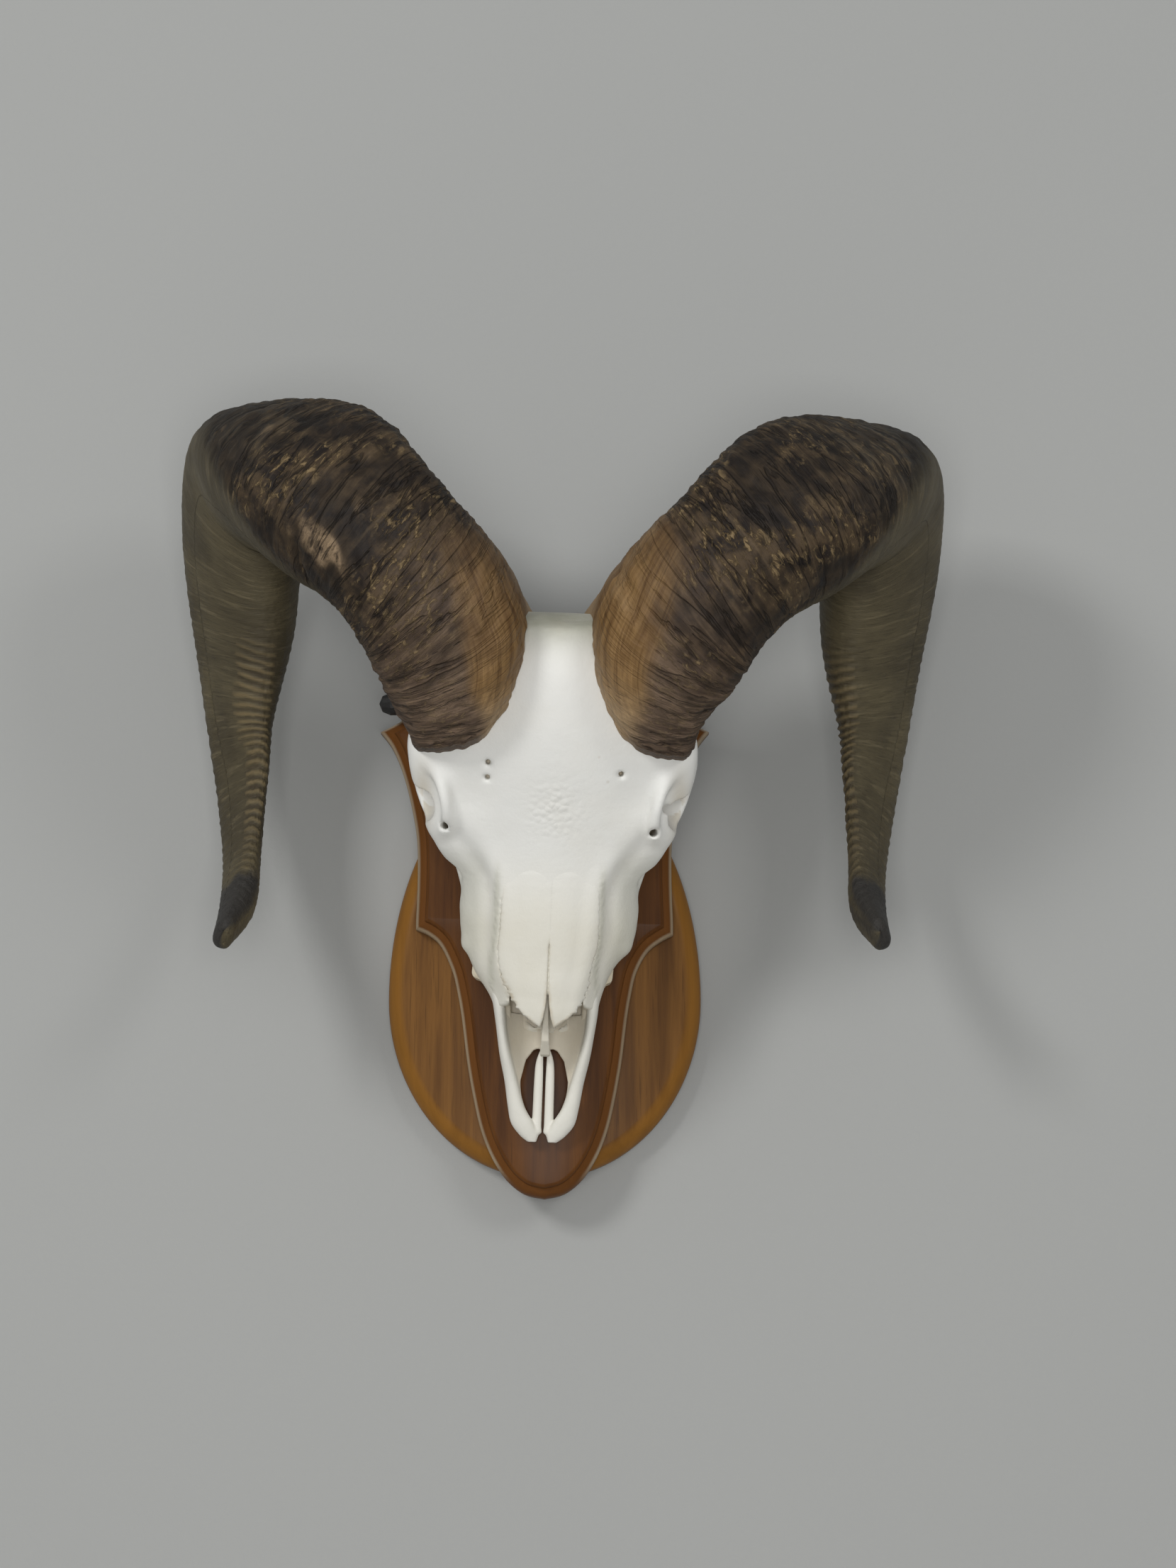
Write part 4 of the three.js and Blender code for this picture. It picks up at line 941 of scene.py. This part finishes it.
def build_nasals(finish):
    """Nasal bones: a plate between the head form and the same form sunk by its thickness,
    inside the jagged outline of each bone."""
    for name, side in SIDES:
        low_x, high_x = sorted((-1.5 * side, 26 * side))
        bone = Bone((low_x, 72, -64), (high_x, 138, 30), FINE_CELL)
        x, d, z = bone.grid()
        form = head_form.field(bone) - between(NASAL_LIFT, z).astype(np.float32)
        plate = np.maximum(np.maximum(form, -(form + NASAL_THICK)), 70 - d)
        crown = 0.5 * np.exp(-((np.abs(x) - 9) / 7) ** 2)
        outside = nasal_reach(side, x, z).astype(np.float32)
        bone.field = carve(plate - crown.astype(np.float32), -outside, 0.5)
        points, quads = bone.skin()
        px, _, pz = points.T
        edge = np.abs(nasal_reach(side, px, pz))
        # hollow: beige painted shade on the underside of the nasal plate
        marks = {"hollow": ease(1.5, 4, -bone.sample(form, points)), "cream": ease(26, -22, pz),
                 "seam": (1 - ease(0.4, 1.8, edge)) * (0.25 + 0.75 * ease(-20, -44, pz))}
        bone_piece(f"nasal_bone_{name}", points, quads, marks, finish, f"nasal_{name}")


def build_premaxillae(finish):
    """Front jaw bones: the side bar, the slim bar beside the midline, and the sloping floor
    between the side bar and the palate slit."""
    for name, side in SIDES:
        low_x, high_x = sorted((0.2 * side, 28 * side))
        bone = Bone((low_x, 37, -114), (high_x, 92, -32), FINE_CELL)
        bone.add(station_bar(PREMAX_BAR, side, 2.3), 1.0)
        bone.add(station_bar(PREMAX_SPLINT, side), 1.0)
        x, d, z = bone.grid()
        out = side * x
        inner, outer, floor, climb = (
            between(pairs, z) for pairs in (PREMAX_SLIT, PREMAX_REACH, PREMAX_FLOOR, PREMAX_CLIMB))
        rise = climb * np.clip(out / outer, 0, 1.1) ** 3
        sheet = (np.abs(d - floor - rise) - 1.1) * 0.8
        ends = np.maximum(-97 - z, z + 52)
        sheet = np.maximum(np.maximum(sheet, inner - out), np.maximum(out - outer, ends))
        bone.field = join(bone.field, sheet.astype(np.float32), 1.2)
        bone.add(rod(sided(side, (3.2, 43, -106.5)), sided(side, (7.5, 43.5, -106)), 1.9, 2.6), 2.0)
        points, quads = bone.skin()
        px, _, pz = points.T
        px = side * px
        # beige painted shade on the inner side of the bar, inside the nose
        beige = ease(-0.4, 1.6, between(PREMAX_BAR_INSIDE, pz) - px)
        beige = beige * ease(-101, -92, pz) * ease(4.2, 6.2, px + 6 * ease(-72, -66, pz))
        marks = {"hollow": 0.9 * beige, "cream": np.full(len(points), 0.7)}
        bone_piece(f"front_jaw_{name}", points, quads, marks, finish, f"premaxilla_{name}")


def build_septum(finish):
    """Midline plate of the nose, wider towards its lower end: the largest of the distances past
    its four sides and two ends."""
    bone = Bone((-7, 52, -76), (7, 90, -36), SEPTUM_CELL)
    x, d, z = bone.grid()
    levels, *sizes = np.array(SEPTUM, float).T
    wide, lo, hi = (np.interp(z, levels, size) for size in sizes)
    ends = np.maximum(levels[0] - z, z - levels[-1])
    plate = np.maximum(np.maximum(np.abs(x) - wide, lo - d), np.maximum(d - hi, ends))
    bone.field = np.minimum(bone.field, plate.astype(np.float32))
    points, quads = bone.skin()
    # the septum stands inside the nose: beige painted shade all over it
    marks = {"hollow": np.full(len(points), 0.45), "cream": np.ones(len(points))}
    bone_piece("nose_septum", points, quads, marks, finish, "vomer")


def tooth_rings():
    """One cheek tooth round its own middle: a column whose section is an oval with two lobes,
    closed by a chewing face whose height waves across it, and the furrow mark of each point."""
    a = np.linspace(0, 2 * math.pi, TOOTH_AROUND, endpoint=False)
    wall = np.linspace(0, 1, TOOTH_WALL_ROWS)[:, None]
    share = np.linspace(1, 0.04, TOOTH_CROWN_ROWS)[:, None]
    lobes = 1 + 0.07 * np.cos(4 * a) + 0.05 * np.cos(2 * a) - 0.05 * np.cos(6 * a)
    wide = (5.7 * np.sign(np.cos(a)) * np.abs(np.cos(a)) ** 0.8 * lobes)[None]
    long = (5.9 * np.sign(np.sin(a)) * np.abs(np.sin(a)) ** 0.8 * lobes)[None]
    taper = 1 - 0.10 * wall ** 2
    depth = TOOTH_ROOT + (TOOTH_TIP + 0.8 - TOOTH_ROOT) * wall + 0 * a
    shaft = np.stack([wide * taper, depth, long * taper], -1)
    cusps = 1.4 * np.cos(2 * a)[None] * share - 1.6 * np.sin(3 * math.pi * share) * (share < 0.95)
    chew = np.stack([wide * 0.9 * share, TOOTH_TIP + 0.2 - cusps * 0.5 + 0 * a, long * 0.9 * share], -1)
    crown_furrow = (np.sin(3 * math.pi * share) > 0.3) * 0.8 + 0 * a
    furrow = np.concatenate([np.zeros((TOOTH_WALL_ROWS, TOOTH_AROUND)), crown_furrow])
    return np.concatenate([shaft, chew]), furrow


def build_teeth():
    """Cheek teeth: six alike in a row on each side, joined into one piece."""
    enamel = tooth_enamel()
    rings, furrow = tooth_rings()
    for name, side in SIDES:
        all_points, all_quads, all_tris, count = [], [], [], 0
        for i, row_x in enumerate(TOOTH_ROW_X):
            placed = rings + (row_x, 0, TOOTH_FIRST_Z + i * TOOTH_PITCH)
            points, quads, tris = closed_tube(placed * (side, 1, 1))
            all_points.append(points)
            all_quads.append(quads + count)
            all_tris.append(tris + count)
            count += len(points)
        points = hung(lean(np.concatenate(all_points)))
        faces = all_out(points, np.concatenate(all_quads), np.concatenate(all_tris))
        marks = {"hollow": np.tile(np.append(furrow.ravel(), (0, 0)), len(TOOTH_ROW_X))}
        made = make_piece(f"cheek_teeth_{name}", points, faces, enamel, marks)
        finish_piece(made, "bone", f"maxilla_{name}")


# ---------------------------------------------------------------- horns
def horn_spine(name):
    """Stations of one horn, evenly spaced along the curl and closed by a round tip, with the way
    ahead and the distance from the skull at each."""
    rows = np.array(HORN, float)
    number = np.arange(len(rows))
    stray = (number / (len(rows) - 1)) ** 2
    belly = np.exp(-((number - HORN_BELLY_STATION) / HORN_BELLY_SPREAD) ** 2)
    for axis, tip_by, belly_by in zip((0, 2), HORN_TIP_SHIFT[name], HORN_BELLY_SHIFT[name]):
        rows[:, axis] += tip_by * stray + belly_by * belly
    places = np.linspace(0, len(rows) - 1, 1200)
    steps = np.linalg.norm(np.diff(along(rows, places)[:, :3], axis=0), axis=1)
    run = np.concatenate([[0], np.cumsum(steps)])
    even = np.linspace(0, run[-1], HORN_ROWS - HORN_TIP_ROWS)
    station = along(rows, np.interp(even, run, places))
    ahead = unit(np.gradient(station[:, :3], axis=0))
    cap = np.sin(np.linspace(0, math.pi / 2, HORN_TIP_ROWS + 1))[1:]
    tail = np.repeat(station[-1:], HORN_TIP_ROWS, 0)
    tail[:, :3] += ahead[-1] * (HORN_TIP_REACH * cap)[:, None]
    tail[:, 3:6] *= np.sqrt(np.maximum(1 - cap ** 2, 0.0004))[:, None]
    ahead = np.vstack([ahead, np.repeat(ahead[-1:], HORN_TIP_ROWS, 0)])
    return np.vstack([station, tail]), ahead, np.concatenate([even, run[-1] + HORN_TIP_REACH * cap])


def horn_rings(name, station, ahead, t, turn):
    """Smooth rings of the sheath: middle + across (half u (1 + flare v) + skew v) + front (out or
    keel) v, with u and v rounded powers of cosine and sine. The rings of the base are squarer."""
    middle, (half, out, keel), facing = station[:, :3], station[:, 3:6].T, station[:, 6:9]
    front = unit(facing - ahead * np.sum(facing * ahead, 1, keepdims=True))
    across = np.cross(front, ahead)
    across *= np.sign(across[:, :1] + 1e-9)          # always away from the midline
    at_base = 1 - ease(0.0, HORN_BASE_SHARE, t)
    corner = HORN_CORNER + (HORN_BASE_CORNER - HORN_CORNER) * at_base
    corner = corner + HORN_BASE_ROUND[name] * at_base * ease(-0.1, 0.6, np.cos(turn))
    power = 2 / np.where(np.sin(turn) > 0, corner, HORN_CORNER + 0.1)
    size = (np.abs(np.cos(turn)) ** power + np.abs(np.sin(turn)) ** power) ** (-1 / power)
    u, v = size * np.cos(turn), size * np.sin(turn)
    sideways = half[:, None] * u * (1 + HORN_FLARE * v) + HORN_BASE_SKEW[name] * at_base * v
    trim = 1 - HORN_BASE_TRIM[name] * at_base * ease(-0.4, 0.8, np.cos(turn))
    forwards = np.where(v > 0, out[:, None] * trim, keel[:, None]) * v
    return middle[:, None] + across[:, None] * sideways[..., None] + front[:, None] * forwards[..., None]


def horn_relief(name, s, t, round_at, low, chunk, fine):
    """Height of the relief: wrinkles and crust on the rough front, ridges on the band of the far
    arm, yearly grooves all round. Also the marks of the rough front, the band and the crests."""
    flank_from = 4 + 60 * ease(0.20, 0.45, t)        # degrees round at which the smooth flank ends
    rough = ease(-13, 13, round_at - flank_from) * (1 - ease(158, 192, round_at))
    rough = rough * (1 - ease(0.50, 0.64, t))
    first, full, fade, last = HORN_BAND[name]
    about = round_at % 360 + 4 * chunk + 5 * low
    band = ease(first, full, about) * (1 - ease(fade, last, about))
    band = band * ease(0.53, 0.63, t) * (1 - 0.65 * ease(0.78, 0.88, t)) * (1 - ease(0.90, 0.94, t))
    ridge_at = s + 1.6 * low + 0.25 * chunk + 4.0 * ease(220, 330, round_at % 360)
    ridge = (0.5 + 0.5 * np.cos(2 * math.pi * ridge_at / HORN_RIDGE_PITCH)) ** 1.2 - 0.4
    wrinkle_at = s + 1.8 * low
    wrinkle = (0.5 + 0.5 * np.cos(2 * math.pi * wrinkle_at / HORN_WRINKLE_PITCH)) ** 1.4 - 0.4
    yearly = sum(np.exp(-((s + 5.0 * low - level) / 1.6) ** 2) for level in HORN_YEARS)
    flank_ridge = 0.34 * ridge * ease(0.46, 0.6, t)
    lift = rough * (0.36 * wrinkle * (0.7 + 0.5 * low) + 0.55 * chunk + 0.42 * fine)
    lift += band * ((1.0 + 0.5 * low) * ridge + 0.25 * chunk)
    lift += (1 - rough) * (1 - band) * (0.12 * wrinkle + 0.10 * fine + flank_ridge)
    lift -= 1.1 * yearly * (0.25 + 0.75 * rough)
    lift *= 1 - 0.6 * ease(0.93, 0.99, t)
    crest = np.where(band > 0.3, ridge + 0.4, wrinkle * 0.6 + chunk * 0.6)
    return lift, {"front": rough, "band": band, "crest": crest}


def horn_zones(name, s, t, round_at, low, chunk):
    """Marks of the zones of colour: amber inner face with a pale rim, brown base, grey apex, dark
    tip, and the bare patch of the left horn."""
    slant = 24 * (1 - ease(0.0, 0.07, t))
    inner = ease(*HORN_AMBER[name], round_at - slant + 6 * low) * (1 - ease(250, 268, round_at))
    tip_side = low * 0.5 + np.cos(np.radians(round_at + 18))
    (chip_s, chip_turn), (half_s, half_turn) = HORN_CHIP_AT, HORN_CHIP_HALF
    chip = np.exp(-((s - chip_s) / half_s) ** 2 - ((round_at - chip_turn) / half_turn) ** 2)
    return {"amber": (1 - ease(0.07, 0.16, t + 0.03 * low)) * inner,
            "rim": 1 - ease(0.01, 0.07, t + 0.012 * low),
            "base": 1 - ease(0.05, 0.19, t + 0.02 * low),
            "apex": ease(0.26, 0.38, t + 0.02 * low),
            "tip": ease(0.895, 0.915, t + 0.012 * low) * ease(-0.95, -0.2, tip_side),
            "chip": ease(0.25, 0.85, chip + 0.35 * chunk) * (name == "left")}


def pushed_out(rings, middle, lift):
    """Rings moved by lift along their normal, away from the middle."""
    d_row, d_turn = np.gradient(rings, axis=0), np.roll(rings, -1, 1) - np.roll(rings, 1, 1)
    normal = unit(np.cross(d_row, d_turn))
    outward = np.sign(np.sum(normal * (rings - middle[:, None]), -1, keepdims=True))
    return rings + normal * outward * lift[..., None]


def with_root(rings, marks, uv):
    """The rings with the base wall, which drops straight back from the first one into the bone."""
    foot = rings[0].copy()
    foot[:, 1] = np.minimum(foot[:, 1] - HORN_ROOT_SINK, HORN_ROOT_DEPTH)
    down = np.linspace(1, 0, HORN_ROOT_ROWS, endpoint=False)[:, None, None]
    root = rings[0] * (1 - down) + foot * down
    marks = {key: np.concatenate([np.repeat(value[:1], HORN_ROOT_ROWS, 0), value])
             for key, value in marks.items()}
    return np.concatenate([root, rings]), marks, np.concatenate([uv[0] - down * (0.02, 0), uv])


def horn_surface(name, side):
    """Horn sheath as a grid of rings along the curl, pushed out along its normal by its relief,
    with the marks that the finish reads and the growth map."""
    station, ahead, run = horn_spine(name)
    s = run[:, None]
    t = s / run[-1]
    turn = np.linspace(0, 2 * math.pi, HORN_AROUND, endpoint=False)
    round_at = (np.degrees(turn)[None] + 90) % 360 - 90      # 0 outer side, 90 front, 180 inner side
    low = lattice_noise(HORN_ROWS, HORN_AROUND, (14, 5), 11 + side, 4)
    chunk = lattice_noise(HORN_ROWS, HORN_AROUND, (110, 34), 31 + side, 3)
    fine = lattice_noise(HORN_ROWS, HORN_AROUND, (170, 60), 51 + side, 2)
    lift, marks = horn_relief(name, s, t, round_at, low, chunk, fine)
    marks.update(horn_zones(name, s, t, round_at, low, chunk))
    rings = pushed_out(horn_rings(name, station, ahead, t, turn), station[:, :3], lift)
    marks = {key: np.broadcast_to(value, rings.shape[:2]) for key, value in marks.items()}
    uv = np.stack(np.broadcast_arrays(s * MM, (turn * HORN_MAP_RADIUS * MM)[None]), -1)
    return with_root(rings, marks, uv)


def build_horns():
    keratin = horn_keratin()
    for name, side in SIDES:
        rings, marks, uv = horn_surface(name, side)
        points, quads, tris = closed_tube(rings * (side, 1, 1))
        placed = hung(points)
        marks = {key: np.append(value.ravel(), (0, 0)) for key, value in marks.items()}
        flat_uv = np.vstack([uv.reshape(-1, 2), uv[0, :1], uv[-1, :1]])
        faces = all_out(placed, quads, tris)
        made = make_piece(f"horn_sheath_{name}", placed, faces, keratin, marks, flat_uv)
        finish_piece(made, "horn", f"horn_{name}")


# ---------------------------------------------------------------- plaque
def inset_outline(outline, inset):
    """A closed outline moved inwards along the mean normal of its two sides at each point. Points
    that a corner's own inset point has passed gather on it, so that the outline never folds."""
    before, after = outline - np.roll(outline, 1, 0), np.roll(outline, -1, 0) - outline
    before, after = unit(before), unit(after)
    normal = unit(np.stack([-(before + after)[:, 1], (before + after)[:, 0]], -1))
    stretch = 1 / np.maximum(0.5, np.sum(normal * np.stack([-before[:, 1], before[:, 0]], -1), 1))
    moved = outline + normal * (inset * stretch)[:, None]
    count = len(outline)
    turn = before[:, 0] * after[:, 1] - before[:, 1] * after[:, 0]
    for corner in np.flatnonzero(turn > 0.4):
        for way, direction in ((1, after[corner]), (-1, -before[corner])):
            for step in range(1, 14):
                k = (corner + way * step) % count
                if (moved[k] - moved[corner]) @ direction < 0.02 * step:
                    moved[k] = moved[corner] + 0.02 * step * direction
    return moved


def mirrored(right):
    """Right half from bottom to top, then the left half back down."""
    return np.vstack([right, (right[1:-1] * (-1, 1))[::-1]])


def back_outline():
    """Two half ellipses that meet at the widest line."""
    turn = np.linspace(-math.pi / 2, math.pi / 2, 121)
    tall = np.where(np.sin(turn) < 0, BACK_LOWER, BACK_UPPER)
    return mirrored(np.stack([BACK_HALF_WIDTH * np.cos(turn), BACK_CENTRE_Z + tall * np.sin(turn)], -1))


def shield_outline():
    """Smooth curves through the bottom, the waist and the top, which meet in sharp corners."""
    parts = []
    for rows in (SHIELD_BOTTOM, SHIELD_WAIST, SHIELD_TOP):
        steps = 5 * (len(rows) - 1)
        parts.append(along(rows, np.arange(steps) / 5))
    right = np.vstack(parts + [np.array(SHIELD_TOP[-1:], float)])
    right[0, 0] = 0
    outline = mirrored(right)
    left_corner = np.exp(-((outline[:, 1] + 15) / 9) ** 2) * (outline[:, 0] < -40)
    outline[:, 1] += LEFT_CORNER_RAISED * left_corner
    return outline


def build_board(name, node, outline, profile, back, finish, bare):
    """Board: the outline carried through its edge profile, front and back closed by strips
    between the mirrored points of its two halves."""
    rings = np.stack([np.insert(inset_outline(outline, inset), 1, back + rise, axis=1)
                      for inset, rise in profile])
    rows, around = rings.shape[:2]
    points = flat_on_wall(rings.reshape(-1, 3))
    half = around // 2
    k = np.arange(1, half - 1)
    strips, ends = [], []
    for first, flip in ((0, True), ((rows - 1) * around, False)):
        a, b = first + k, first + k + 1
        c, e = first + around - k - 1, first + around - k
        strips.append(np.stack([e, c, b, a] if flip else [a, b, c, e], -1))
        tri = [[first, first + 1, first + around - 1], [first + half, first + half + 1, first + half - 1]]
        ends.append(np.array([t[::-1] for t in tri] if flip else tri))
    inset, rise = (np.repeat(column, around) for column in zip(*profile))
    widest = inset.max()
    edge = (1 - ease(widest * 0.62, widest * 0.98, inset)) * ease(3, 8, rise)
    # pale line along the upper side wall, near the bottom point only
    worn = (1 - ease(0.9, 1.7, inset)) * ease(6.5, 8.5, rise) * ease(-132, -118, rings[..., 2].ravel())
    faces = all_out(points, ring_faces(rows, around), *strips, *ends)
    made = make_piece(name, points, faces, finish, {"edge": edge, "bare": worn * bare})
    made.data.set_sharp_from_angle(angle=math.radians(38))
    finish_piece(made, name, node)


def build_plaque():
    brown = lacquered_walnut("walnut_back", **WALNUT_BACK)
    red = lacquered_walnut("walnut_front", **WALNUT_FRONT)
    front_from = BOARD_THICK + BOARD_GAP
    build_board("back_board", "plaque_back", back_outline(), ROUND_EDGE, 0, brown, 0.0)
    build_board("front_board", "plaque_front", shield_outline(), MOULDED_EDGE, front_from, red, 1.0)


def paint_bracket():
    """The bracket keeps its CAD shape."""
    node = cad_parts["bracket"]
    node.data.materials.clear()
    node.data.materials.append(black_paint())


# ---------------------------------------------------------------- studio
def flat_sheet(name, corners, finish):
    mesh = bpy.data.meshes.new(name)
    mesh.from_pydata(corners, [], [(0, 1, 2, 3)])
    mesh.materials.append(finish)
    made = bpy.data.objects.new(name, mesh)
    bpy.context.scene.collection.objects.link(made)


def studio():
    """Wall and floor, three soft lamps and an even room light."""
    wall_y, floor_z, reach = 0.0006, -1.3, 2.6
    wall = [(x, wall_y, z) for x, z in ((-reach, floor_z), (reach, floor_z), (reach, reach), (-reach, reach))]
    floor = [(x, y, floor_z) for x, y in ((-reach, -2 * reach), (reach, -2 * reach),
                                          (reach, reach), (-reach, reach))]
    flat_sheet("studio_wall", wall, plain_paint("wall_paint", WALL_TINT, clear_behind=True))
    flat_sheet("studio_floor", floor, plain_paint("floor_paint", FLOOR_TINT))
    for name, place, size, watts in LAMPS:
        lamp = bpy.data.lights.new(name, "AREA")
        lamp.energy = watts
        lamp.size = size
        made = bpy.data.objects.new(name, lamp)
        bpy.context.scene.collection.objects.link(made)
        made.location = place
        made.rotation_mode = "QUATERNION"
        made.rotation_quaternion = (Vector(place) - Vector(LAMP_AIM)).to_track_quat("Z", "Y")
    world = bpy.data.worlds.new("soft_room")
    world.use_nodes = True
    background = world.node_tree.nodes["Background"]
    background.inputs["Color"].default_value = ROOM_TINT
    background.inputs["Strength"].default_value = ROOM_LIGHT
    bpy.context.scene.world = world


def plain_colours():
    """Colours shown as they are, without a film curve."""
    bpy.context.scene.view_settings.view_transform = "Standard"
    bpy.context.scene.view_settings.look = "None"


def camera():
    lens = bpy.data.cameras.new("camera")
    lens.lens = CAMERA_LENS
    lens.sensor_width = 36
    lens.clip_start, lens.clip_end = 0.05, 50
    made = bpy.data.objects.new("camera", lens)
    bpy.context.scene.collection.objects.link(made)
    made.location = CAMERA_PLACE
    made.rotation_euler = (math.radians(CAMERA_TILT), 0, 0)
    bpy.context.scene.camera = made


camera()
plain_colours()
build_plaque()
paint_bracket()
bone_finish = whitened_bone()
build_skull(bone_finish)
build_nasals(bone_finish)
build_premaxillae(bone_finish)
build_septum(bone_finish)
build_teeth()
build_horns()
studio()
